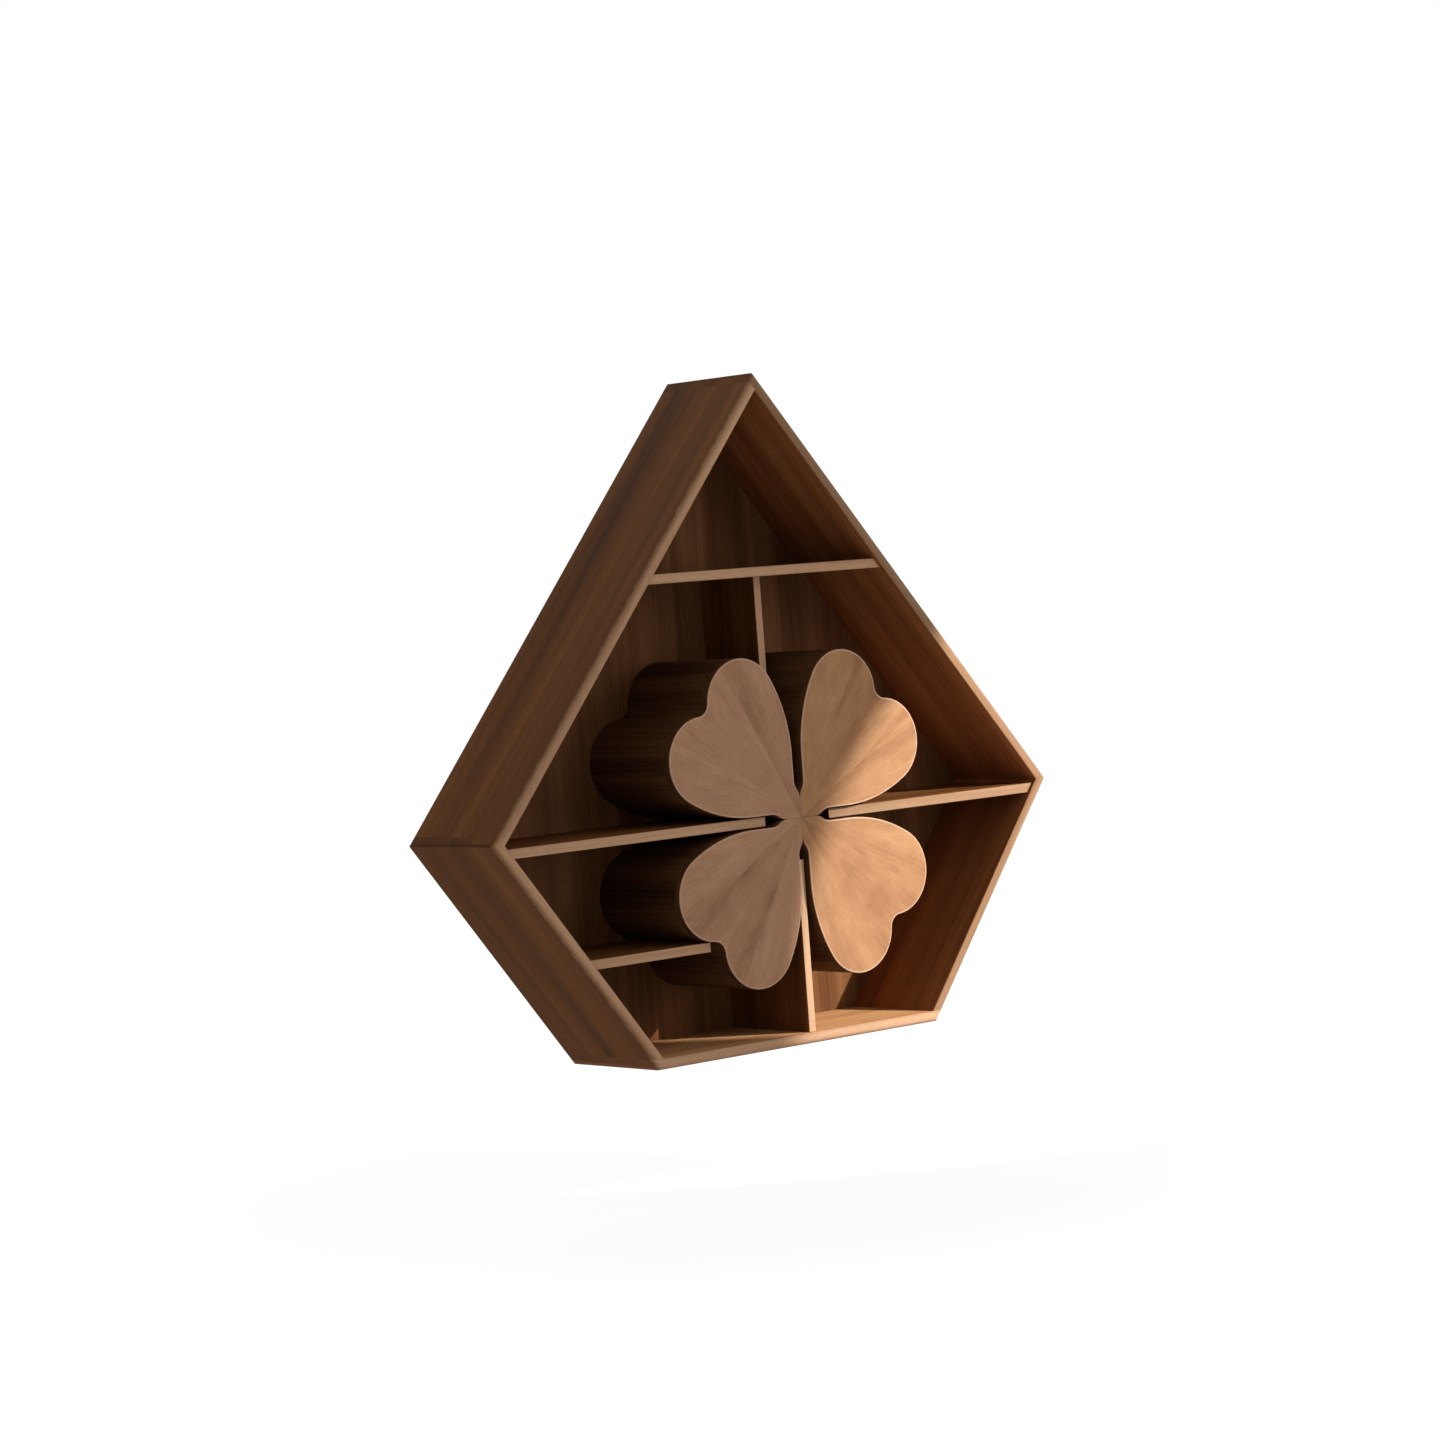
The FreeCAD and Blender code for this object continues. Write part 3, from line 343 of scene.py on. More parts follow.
def drawer_board(low, high, view):
    """A board of the drawer box between two corners in space; the view's last axis is its thickness."""
    across, up, thick = view
    corners = box_corners((low[across], low[up]), (high[across], high[up]))
    return plate(corners, low[thick], high[thick], EASED, EASED, np.ones(4), view=view, steps=2)


def arris_depth(away, radius):
    """How far a rounding of this radius lies behind the front, this far away from its edge:
    r - sqrt(r^2 - (r - d)^2)."""
    short = np.clip(radius - away, 0.0, radius)
    return radius - np.sqrt(radius ** 2 - short ** 2)


def case_board(own, before, after, laps_before, laps_after, lip_shade_and_highlight):
    """A board of the case as a grid of lines beside its own side and lines beside each neighbour's side.

    A point that lies w inside the case's outline, from the nearest of the three sides, is at
    y = front + f(w, outer round) + f(board - w, inner round), with f as in arris_depth, so the roundings
    meet in mitres and run on across the joints. A board that laps over its neighbour ends at the
    neighbour's outer side, and one that butts ends at its inner side. The front value goes from
    lip_shade_and_highlight[0] at the outer arris to lip_shade_and_highlight[1] at the inner one, which is
    painted shade and highlight across the front edge, and through from 0 to 1 across the board's own side."""
    turned = np.linspace(0.0, math.pi / 2, 9)
    outside = OUTER_ROUND * (1.0 - np.cos(turned))
    inside = BOARD - INNER_ROUND * (1.0 - np.cos(turned[::-2]))
    across = np.concatenate((outside, inside))
    joints = []
    for neighbour, laps in ((before, laps_before), (after, laps_after)):
        steps = across if laps else across[-1:]
        beside, along = np.meshgrid(neighbour[1] + steps, own[1] + across, indexing="ij")
        crossing = np.linalg.solve((own[0], neighbour[0]), np.stack((along.ravel(), beside.ravel())))
        joints.append(crossing.T.reshape(len(steps), len(across), 2))
    flat = np.concatenate((joints[0], joints[1][::-1]))
    width = np.min([flat @ normal - level for normal, level in (own, before, after)], axis=0)
    outer_depth = arris_depth(width, OUTER_ROUND)
    inner_depth = arris_depth(BOARD - width, INNER_ROUND)
    rear_depth = arris_depth(np.minimum(width, BOARD - width), REAR_ROUND)
    columns, rows = width.shape
    points = np.empty((2, columns, rows, 3))
    points[..., [0, 2]] = flat
    points[0, ..., 1] = CASE_FRONT + outer_depth + inner_depth
    points[1, ..., 1] = -rear_depth
    index = np.arange(points[..., 0].size).reshape(2, columns, rows)
    border = np.concatenate((index[:, :-1, 0], index[:, -1, :-1], index[:, :0:-1, -1], index[:, 0, :0:-1]),
                            axis=1)
    beyond = np.roll(border, -1, axis=1)
    walls = np.stack((border[0], beyond[0], beyond[1], border[1]), axis=1)
    cells = np.stack((index[:, :-1, :-1], index[:, :-1, 1:], index[:, 1:, 1:], index[:, 1:, :-1]), axis=-1)
    cells = cells.reshape(2, -1, 4)
    turn = np.maximum(outer_depth / OUTER_ROUND, inner_depth / INNER_ROUND)
    # Painted shade and highlight: the lipping's lightness changes across the board.
    lip_shade_and_highlight_value = lip_shade_and_highlight[0] + (lip_shade_and_highlight[1] - lip_shade_and_highlight[0]) * width / BOARD
    through = (flat @ own[0] - own[1]) / BOARD
    rear = np.zeros(columns * rows)
    long_side, cut_end = np.zeros(columns - 1), np.ones(rows - 1)
    return {
        "points": points.reshape(-1, 3),
        "faces": np.concatenate((cells[0], cells[1][:, ::-1], walls)).tolist(),
        "front": np.concatenate((((1.0 - turn) * lip_shade_and_highlight_value).ravel(), rear)),
        "arris": np.concatenate((4.0 * (turn * (1.0 - turn)).ravel(), rear)),
        "through": np.tile(through.ravel(), 2),
        "end": np.concatenate((np.zeros(2 * len(cells[0])), long_side, cut_end, long_side, cut_end)),
    }


POINT_VALUES = ("front", "arris", "through")


def add_values(mesh, name, domain, values):
    """A named attribute of the mesh: one number for each point, face or corner, or three."""
    kind, field = ("FLOAT_VECTOR", "vector") if values.ndim == 2 else ("FLOAT", "value")
    mesh.attributes.new(name, kind, domain).data.foreach_set(field, values.ravel())


FLAT_ANGLE = 35.0
BEVEL_ANGLE = 50.0


def piece(name, parts, material, node, body, bevel=0.0):
    """One object from solids worked out above, smooth where its faces meet at less than the flat angle.

    It moves with its body, and takes the place and the material slot of a node."""
    starts = np.cumsum([0] + [len(part["points"]) for part in parts])
    faces = [[start + corner for corner in face]
             for part, start in zip(parts, starts) for face in part["faces"]]
    mesh = bpy.data.meshes.new(name)
    mesh.from_pydata(np.concatenate([part["points"] for part in parts]), [], faces)
    for value in POINT_VALUES:
        add_values(mesh, value, "POINT", np.concatenate([part[value] for part in parts]))
    add_values(mesh, "end", "FACE", np.concatenate([part["end"] for part in parts]))
    if "grain" in parts[0]:
        add_values(mesh, "grain", "CORNER", np.concatenate([part["grain"] for part in parts]))
    mesh.shade_smooth()
    mesh.set_sharp_from_angle(angle=math.radians(FLAT_ANGLE))
    mesh.materials.append(material)
    made = new_object(name, mesh)
    if bevel:
        ease = made.modifiers.new("eased", "BEVEL")
        ease.width = bevel
        ease.segments = 2
        ease.limit_method = "ANGLE"
        ease.angle_limit = math.radians(BEVEL_ANGLE)
    weigh = made.modifiers.new("weighted", "WEIGHTED_NORMAL")
    weigh.keep_sharp = True
    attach(made, body)
    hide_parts(node)


def arc(centre, radius, start, end, count):
    """Points centre + radius (cos t, sin t), with t from start to end."""
    turn = np.linspace(start, end, count)
    return np.add(centre, radius * np.stack((np.cos(turn), np.sin(turn)), axis=1))


def bearing(start, end):
    """The angle of the way from start to end: atan2 of its rise and its run."""
    return math.atan2(end[1] - start[1], end[0] - start[0])


def lobe_middle():
    """The centre of a lobe, whose arc runs on from the flank's arc: the two centres lie apart by the
    difference of the radii."""
    up = LEAF_REACH - LOBE_RADIUS
    across = math.sqrt((FLANK_RADIUS - LOBE_RADIUS) ** 2 - (up - FLANK_LEVEL) ** 2)
    return np.array((FLANK + FLANK_RADIUS - across, up))


def heart(inset=0.0):
    """A heart's outline: a straight flank, its curve, a lobe and the notch, all tangent, then their mirror
    image about the diagonal. With an inset the tip is a square corner and each curve keeps its centre. Both
    forms have the same number of points, so that they pair up."""
    flank = FLANK + inset
    flank_radius, lobe_radius, notch_radius = FLANK_RADIUS - inset, LOBE_RADIUS - inset, NOTCH_RADIUS + inset
    flank_centre = np.array((flank + flank_radius, FLANK_LEVEL))
    lobe_centre = lobe_middle()
    aside = (lobe_centre[1] - lobe_centre[0]) / math.sqrt(2)
    onwards = math.sqrt((lobe_radius + notch_radius) ** 2 - aside ** 2)
    notch_centre = np.full(2, lobe_centre.mean() + onwards / math.sqrt(2))
    flank_end = bearing(flank_centre, lobe_centre)
    lobe_end = bearing(lobe_centre, notch_centre)
    if inset:
        foot = np.linspace((flank, flank), (flank, FLANK_LEVEL), 25)
    else:
        out, on = FLANK - SEAM, BLEND_LENGTH
        radius = (out ** 2 + on ** 2) / (4 * out)
        turn = math.asin(on / (2 * radius))
        blend_end = SEAM_LENGTH + BLEND_LENGTH
        foot = np.concatenate((
            np.linspace((SEAM, SEAM), (SEAM, SEAM_LENGTH), 4),
            arc((SEAM + radius, SEAM_LENGTH), radius, math.pi, math.pi - turn, 9)[1:],
            arc((FLANK - radius, blend_end), radius, -turn, 0.0, 9)[1:],
            np.linspace((FLANK, blend_end), (FLANK, FLANK_LEVEL), 6)[1:],
        ))
    half = np.concatenate((
        foot,
        arc(flank_centre, flank_radius, math.pi, flank_end, 21)[1:],
        arc(lobe_centre, lobe_radius, flank_end, lobe_end, 57)[1:],
        arc(notch_centre, notch_radius, lobe_end + math.pi, math.pi * 5 / 4, 13)[1:],
    ))
    whole = np.concatenate((half, half[-2:0:-1, ::-1]))
    return whole[::-1]


def bent_wall(outer, inner, near, far):
    """A shell of bent plywood: rings down the outside, across the rear edge, up the inside and back over the
    eased front edge. Its grain runs along Y, and the arc length along the outline counts across it."""
    count = len(outer)
    depths, insets = rounding(np.full(count, 2 * EASED), 3)
    outside = drawn_in(outer, np.concatenate((insets, insets[-1:])))
    inside = drawn_in(inner, np.concatenate((insets[-1:], -insets[::-1])))
    levels = np.concatenate((near + depths, (far, far), near + depths[::-1]))
    flat = np.concatenate((outside, inside))
    rings = len(levels)
    points = np.empty((rings, count, 3))
    points[..., [0, 2]] = flat
    points[..., 1] = levels[:, None]
    quads = ring_faces(rings, count, closed=True)
    steps = np.linalg.norm(np.roll(outer, -1, axis=0) - outer, axis=1)
    length = np.concatenate(((0.0,), np.cumsum(steps)))
    spot = np.arange(count)
    spots = np.tile(np.stack((spot, spot, spot + 1, spot + 1), axis=1), (rings, 1))
    grain = np.zeros((rings * count * 4, 3))
    grain[:, 0] = points.reshape(-1, 3)[quads.ravel(), 1]
    grain[:, 1] = length[spots.ravel()]
    side_rings = len(outside)
    rear_edge, front_edge = side_rings - 1, rings - 1
    edge = np.zeros(rings)
    edge[[rear_edge, front_edge]] = 1.0
    rounded = np.zeros(side_rings)
    rounded[1:-2] = 1.0
    arris = np.concatenate((rounded, rounded[::-1]))
    return {
        "points": points.reshape(-1, 3),
        "faces": quads.tolist(),
        "front": np.zeros(rings * count),
        "arris": np.repeat(arris, count),
        "through": np.repeat((0.0, 1.0), side_rings * count),
        "end": np.repeat(edge, count),
        "grain": grain,
    }


def channel(height, opens):
    """A folded rail seen from its end, from its web at x = 0 to the depth that it opens to, about z = 0.

    Its bends are arcs of one radius outside, and of that radius less the sheet inside."""
    half = height / 2
    low, high = (RAIL_BEND, RAIL_BEND - half), (RAIL_BEND, half - RAIL_BEND)
    down, level, up = math.pi * 3 / 2, math.pi, math.pi / 2
    shape = np.concatenate((
        ((RAIL_DEPTH, -half), (RAIL_DEPTH, RAIL_SHEET - half)),
        arc(low, RAIL_BEND - RAIL_SHEET, down, level, 5),
        arc(high, RAIL_BEND - RAIL_SHEET, level, up, 5),
        ((RAIL_DEPTH, half - RAIL_SHEET), (RAIL_DEPTH, half)),
        arc(high, RAIL_BEND, up, level, 7),
        arc(low, RAIL_BEND, level, down, 7),
    ))
    return shape if opens > 0 else shape[::-1] * (-1.0, 1.0)


def cross_reach(turn, arm, half_width):
    """How far a cross recess reaches in a direction: the smaller of arm / cos t and half_width / sin t,
    where t is the angle to the nearest arm."""
    away = np.abs((turn + math.pi / 4) % (math.pi / 2) - math.pi / 4)
    return np.minimum(arm / np.cos(away), half_width / np.sin(np.maximum(away, 1e-6)))


RECESS_ARM = 0.62
RECESS_HALF_WIDTH = 0.16
RECESS_DEPTH = 0.42
POINT_LENGTH = 1.6
POINT_RADIUS = 0.12


def screw(size, domed, place, way):
    """A screw as rings about its axis, from the recess in its head to its tip, along way from place.

    The head is a cone sunk below place, or a dome above it. The recess is measured in head radii, and the
    point in shank radii."""
    head, shank, length, height = size
    arm, half_width = RECESS_ARM * head, RECESS_HALF_WIDTH * head
    corner = math.atan2(half_width, arm)
    quarter = np.concatenate(((0.0,), np.linspace(corner, math.pi / 2 - corner, 9)))
    turn = (quarter + np.arange(4)[:, None] * math.pi / 2).ravel()
    circle = np.ones_like(turn)
    cross = cross_reach(turn, arm, half_width)
    top = -height if domed else 0.0
    if domed:
        rim = [(0.70 * head, -height), (0.90 * head, -0.75 * height), (head, -0.35 * height), (head, 0.0),
               (shank, 0.0)]
    else:
        rim = [(0.93 * head, 0.0), (0.97 * head, 0.05 * height), (shank, height)]
    rim += [(shank, length - POINT_LENGTH * shank), (POINT_RADIUS * shank, length)]
    rings = [(0.6 * cross, top + RECESS_DEPTH * head), (cross, top)]
    rings += [(radius * circle, level) for radius, level in rim]
    reach = np.array([radius for radius, _ in rings])[..., None]
    level = np.array([level for _, level in rings])[:, None, None]
    up = np.array((0.0, 0.0, 1.0))
    spokes = np.cos(turn)[:, None] * up + np.sin(turn)[:, None] * np.cross(up, way)
    points = np.asarray(place) + reach * spokes + level * np.asarray(way)
    count = len(turn)
    last = len(rings) * count - 1
    quads = ring_faces(len(rings), count)
    blank = np.zeros(len(rings) * count)
    return {
        "points": points.reshape(-1, 3),
        "faces": quads.tolist() + [list(range(count)), list(range(last, last - count, -1))],
        "front": blank,
        "arris": blank,
        "through": blank,
        "end": np.zeros(len(quads) + 2),
    }


def panel_screw_places():
    """X and Z of the screws through the back panel: along shelves and dividers, and in the shells."""
    steps = SCREW_INSET + SCREW_SPACING * np.arange(3)
    under_top = TOP_SHELF_LEVEL - SHELF / 2
    places = [(step * SCREW_SPACING, under_top) for step in (-1, 0, 1)]
    reaches = [side * (CLEAR_OF_CLOVER + step) for step in steps for side in (-1, 1)]
    places += [(CLOVER[0] + reach, CLOVER[1]) for reach in reaches]
    low = LOW_SHELF_LEVEL - SHELF / 2
    slope = (CORNERS[3][0] - CORNERS[4][0]) / (CORNERS[4][1] - CORNERS[3][1])
    low_left = CORNERS[4][0] + (CORNERS[4][1] - low) * slope + BOARD + SCREW_INSET
    places += [(LOW_SHELF_END - SCREW_INSET, low), (low_left, low)]
    for step in steps[:2]:
        places += [(CLOVER[0], TOP_SHELF_LEVEL - SHELF - step), (CLOVER[0], CORNERS[2][1] + BOARD + step)]
    for turn in LEAVES.values():
        for spot in ((FLANK + SHELL_WALL / 2, FLANK_LEVEL), (lobe_middle()[0], LEAF_REACH - SHELL_WALL / 2)):
            places += [turn @ spot + CLOVER, turn @ spot[::-1] + CLOVER]
    return places


# Finishes

def srgb(red, green, blue):
    """A colour as it looks on a screen, 0 to 255 each, in linear light."""
    level = np.array((red, green, blue)) / 255.0
    linear = np.where(level <= 0.04045, level / 12.92, ((level + 0.055) / 1.055) ** 2.4)
    return (*linear.tolist(), 1.0)


class Finish:
    """The nodes of one material, with a short call for each kind."""

    def __init__(self, name, **sockets):
        self.material = bpy.data.materials.new(name)
        self.material.use_nodes = True
        self.tree = self.material.node_tree
        self.shader = self.tree.nodes["Principled BSDF"]
        for socket, value in sockets.items():
            self.shader.inputs[socket.replace("_", " ")].default_value = value
        self.place = self.add("TexCoord").outputs["Object"]

    def add(self, kind, inputs=(), **settings):
        """A node whose inputs are linked or set, whichever their values ask for."""
        node = self.tree.nodes.new("ShaderNode" + kind)
        for setting, value in settings.items():
            setattr(node, setting, value)
        for socket, value in dict(inputs).items():
            if isinstance(value, bpy.types.NodeSocket):
                self.tree.links.new(value, node.inputs[socket])
            elif value is not None:
                node.inputs[socket].default_value = value
        return node

    def math(self, operation, first, second=None, third=None):
        """The operation worked out on up to three numbers."""
        return self.add("Math", {0: first, 1: second, 2: third}, operation=operation).outputs[0]

    def times(self, first, second, plus=None):
        """first times second, and plus where it is given."""
        return self.math("MULTIPLY" if plus is None else "MULTIPLY_ADD", first, second, plus)

    def vector(self, operation, first, second):
        """The same for two vectors."""
        return self.add("VectorMath", {0: first, 1: second}, operation=operation).outputs[0]

    def stretch(self, vector, scale, shift=(0.0, 0.0, 0.0)):
        """scale times the vector, axis by axis, plus shift."""
        return self.add("Mapping", {"Vector": vector, "Scale": scale, "Location": shift}).outputs[0]

    def turned(self, vector, middle, turn):
        """The vector seen from a frame at middle that is turned by turn."""
        inputs = {"Vector": vector, "Location": middle, "Rotation": turn}
        return self.add("Mapping", inputs, vector_type="TEXTURE").outputs[0]

    def noise(self, vector, scale=1.0, detail=3.0, roughness=0.55, output=0):
        """Soft noise about 0.5, or three such values as a colour from output 1."""
        inputs = {"Vector": vector, "Scale": scale, "Detail": detail, "Roughness": roughness}
        return self.add("TexNoise", inputs).outputs[output]

    def between(self, value, low, high, start=0.0, end=1.0):
        """From start at low to end at high, and level beyond them."""
        inputs = {"Value": value, "From Min": low, "From Max": high, "To Min": start, "To Max": end}
        return self.add("MapRange", inputs).outputs[0]

    def mix(self, factor, first, second, blend="MIX"):
        """The first colour turning into the second as the factor goes from 0 to 1."""
        node = self.add("Mix", {0: factor, 6: first, 7: second}, data_type="RGBA", blend_type=blend)
        return node.outputs[2]

    def ramp(self, factor, *stops):
        """Colours between the given stops of (place, colour)."""
        node = self.add("ValToRGB", {0: factor})
        colours = node.color_ramp.elements
        while len(colours) < len(stops):
            colours.new(0.5)
        for element, (place, colour) in zip(colours, stops):
            element.position = place
            element.color = colour
        return node.outputs[0]

    def value(self, name, output="Fac"):
        """A value that the piece's mesh carries."""
        return self.add("Attribute", attribute_name=name).outputs[output]

    def finish(self, colour, roughness, height, depth):
        """The material, with relief of this depth where the height goes from 0 to 1."""
        bump = self.add("Bump", {"Height": height, "Strength": 1.0, "Distance": depth})
        self.tree.links.new(colour, self.shader.inputs["Base Color"])
        self.tree.links.new(roughness, self.shader.inputs["Roughness"])
        self.tree.links.new(bump.outputs[0], self.shader.inputs["Normal"])
        return self.material


LACQUER = {"Specular_IOR_Level": 0.02}


def walnut_grain(wood, grain, bands_share=0.50, streaks_share=0.26, fibres_share=0.12, rings_share=0.06):
    """Tone, pores and height of walnut whose grain runs along the first axis of grain, in metres.

    The tone is about 0.5. It adds bands, streaks and fibres by their shares, less the share of growth rings,
    all stretched along the grain."""
    drift = wood.noise(wood.stretch(grain, (0.9, 5.0, 5.0)), detail=2.0, output=1)
    wander = wood.vector("MULTIPLY", wood.vector("SUBTRACT", drift, (0.5, 0.5, 0.5)), (0.0, 0.05, 0.05))
    bent = wood.vector("ADD", grain, wander)
    bands = wood.noise(wood.stretch(bent, (0.6, 13.0, 13.0)), detail=2.0, roughness=0.45)
    streaks = wood.noise(wood.stretch(bent, (1.2, 48.0, 48.0)), detail=3.0)
    fibres = wood.noise(wood.stretch(bent, (6.0, 420.0, 420.0)), detail=3.0, roughness=0.6)
    pores = wood.noise(wood.stretch(bent, (75.0, 1700.0, 1700.0)), detail=1.0)
    log = wood.stretch(bent, (0.12, 1.0, 1.0), (0.0, 0.11, 0.07))
    rings = {"Vector": log, "Scale": 26.0, "Distortion": 7.0, "Detail": 3.0, "Detail Scale": 0.35,
             "Detail Roughness": 0.6}
    growth = wood.add("TexWave", rings, wave_type="RINGS", rings_direction="X", wave_profile="SAW")
    total = bands_share + streaks_share + fibres_share
    rest = 0.5 - 0.5 * total + 0.5 * rings_share
    tone = wood.times(bands, bands_share, rest)
    tone = wood.times(streaks, streaks_share, tone)
    tone = wood.times(fibres, fibres_share, tone)
    tone = wood.times(growth.outputs[1], -rings_share, tone)
    pits = wood.between(pores, 0.60, 0.72)
    height = wood.times(pits, -1.0, wood.times(fibres, 0.6))
    return tone, pits, height


def walnut_colour(wood, tone, pits, dark, middle, light):
    """Dark, middle and light walnut by the tone, and dark again in the pores."""
    colour = wood.ramp(tone, (0.34, dark), (0.45, middle), (0.60, light))
    return wood.mix(wood.times(pits, 0.45), colour, dark)


def satin(wood, tone, pits):
    """Roughness of satin lacquer: a little duller on light wood and over the pores."""
    return wood.times(pits, 0.16, wood.between(tone, 0.35, 0.65, 0.46, 0.58))


def matched_strips(wood, steps):
    """Strips of veneer numbered by whole steps, of which each is the mirror image of the one before it.

    share runs from -0.5 to 0.5 across a strip, mirror is 1 or -1 by turns, and each pair of strips has the
    number of the flitch that it was cut from."""
    number = wood.math("FLOOR", steps)
    share = wood.math("SUBTRACT", wood.math("SUBTRACT", steps, number), 0.5)
    mirror = wood.math("SUBTRACT", 1.0, wood.times(wood.math("FLOORED_MODULO", number, 2.0), 2.0))
    flitch = wood.math("FLOOR", wood.times(number, 0.5))
    return share, mirror, flitch


def own_tone(wood, tone, number, most):
    """The tone, moved up or down by at most this much, by another amount for each number."""
    chance = wood.add("TexWhiteNoise", {"W": number}, noise_dimensions="1D").outputs[0]
    return wood.math("ADD", tone, wood.between(chance, 0.0, 1.0, -most, most))


# Light colour on the arrises: wear, and a painted highlight along their roundings.
WEAR_AND_HIGHLIGHT_COLOUR = srgb(176, 134, 102)
WALNUT = (srgb(66, 38, 18), srgb(101, 61, 30), srgb(131, 84, 47))
PANEL_TONES = (srgb(70, 43, 25), srgb(106, 68, 41), srgb(134, 91, 58))
# Lighter, redder tones on the inner faces of the right boards and the bottom: painted warm light.
PAINTED_LIGHT_CASE_TONES = {
    "upper_right": (srgb(104, 57, 30), srgb(150, 89, 49), srgb(182, 117, 70)),
    "lower_right": (srgb(92, 50, 26), srgb(136, 79, 43), srgb(168, 106, 62)),
    "bottom": (srgb(142, 95, 59), srgb(192, 135, 88), srgb(220, 165, 113)),
    "lower_left": WALNUT,
    "upper_left": WALNUT,
}
# Lipping tones, partly painted light; the darker copy for the right pieces is painted shade.
LIP_TONES_WITH_PAINTED_LIGHT = (srgb(150, 111, 84), srgb(182, 140, 108), srgb(206, 165, 129))
PAINTED_SHADE_RIGHT_LIP_TONES = (srgb(120, 89, 66), srgb(146, 112, 84), srgb(166, 132, 101))
# Leaf tones set for each side's light, one walnut in both: painted light and shade.
PAINTED_LIGHT_LEFT_LEAVES = (srgb(124, 88, 65), srgb(163, 120, 92), srgb(192, 149, 117))
PAINTED_LIGHT_RIGHT_LEAVES = (srgb(118, 81, 54), srgb(154, 110, 77), srgb(184, 139, 99))
# Darker walnut for the shells and the leaves' edges: painted shade.
PAINTED_SHADE_SHELL_TONES = (srgb(50, 31, 18), srgb(78, 49, 29), srgb(104, 69, 42))
GLUE = srgb(92, 62, 38)
VENEER_RELIEF = 0.00025
LEAF_RELIEF = 0.0002
ZINC_RELIEF = 0.00008
WEDGES = 24.0
STRIP_WIDTH = 0.168


def board_walnut(name, turn, middle, seed, tones=WALNUT):
    """Walnut veneer along a board, a lighter lipping on its front edge, end grain, and arrises lightened
    by wear and by a painted highlight. The lipping's extra lightness over the broad faces is partly
    painted light.

    The tones are those of the side where through is 1: on the right boards and the bottom they are lighter,
    redder copies of the walnut, which are painted warm light. Elsewhere the veneer has the common walnut
    tones."""
    wood = Finish(name, **LACQUER)
    along = wood.turned(wood.place, (middle[0], 0.0, middle[1]), (0.0, -turn, 0.0))
    grain = wood.stretch(along, (1.0, 1.0, 1.0), (1.7 * seed, 0.61 * seed, 0.37 * seed))
    tone, pits, height = walnut_grain(wood, grain, 0.44, 0.18, 0.10, 0.05)
    veneer = walnut_colour(wood, tone, pits, *WALNUT)
    # Painted warm light: the board's own tones on its inner side.
    if tones is not WALNUT:
        painted_inner_light = wood.between(wood.value("through"), 0.93, 0.99)
        painted_inner_light = wood.times(painted_inner_light, wood.math("SUBTRACT", 1.0, wood.value("end")))
        veneer = wood.mix(painted_inner_light, veneer, walnut_colour(wood, tone, pits, *tones))
    # The right pieces get the darker lipping as painted shade, the others the lighter one with painted
    # light.
    lip_tones_with_painted_light_and_shade = PAINTED_SHADE_RIGHT_LIP_TONES if "right" in name else LIP_TONES_WITH_PAINTED_LIGHT
    lipping = walnut_colour(wood, tone, pits, *lip_tones_with_painted_light_and_shade)
    colour = wood.mix(wood.value("front"), veneer, lipping)
    joint = wood.between(wood.value("through"), 0.14, 0.42, 0.85, 0.12)
    colour = wood.mix(wood.times(wood.value("end"), joint), colour, tones[0])
    # Arrises lightened in patches, for wear and as a painted highlight.
    wear_and_highlight_patches = wood.between(wood.noise(grain, scale=38.0), 0.45, 0.7)
    wear_and_highlight = wood.times(wood.times(wood.value("arris"), wear_and_highlight_patches), 0.45)
    colour = wood.mix(wear_and_highlight, colour, WEAR_AND_HIGHLIGHT_COLOUR)
    return wood.finish(colour, satin(wood, tone, pits), height, VENEER_RELIEF)


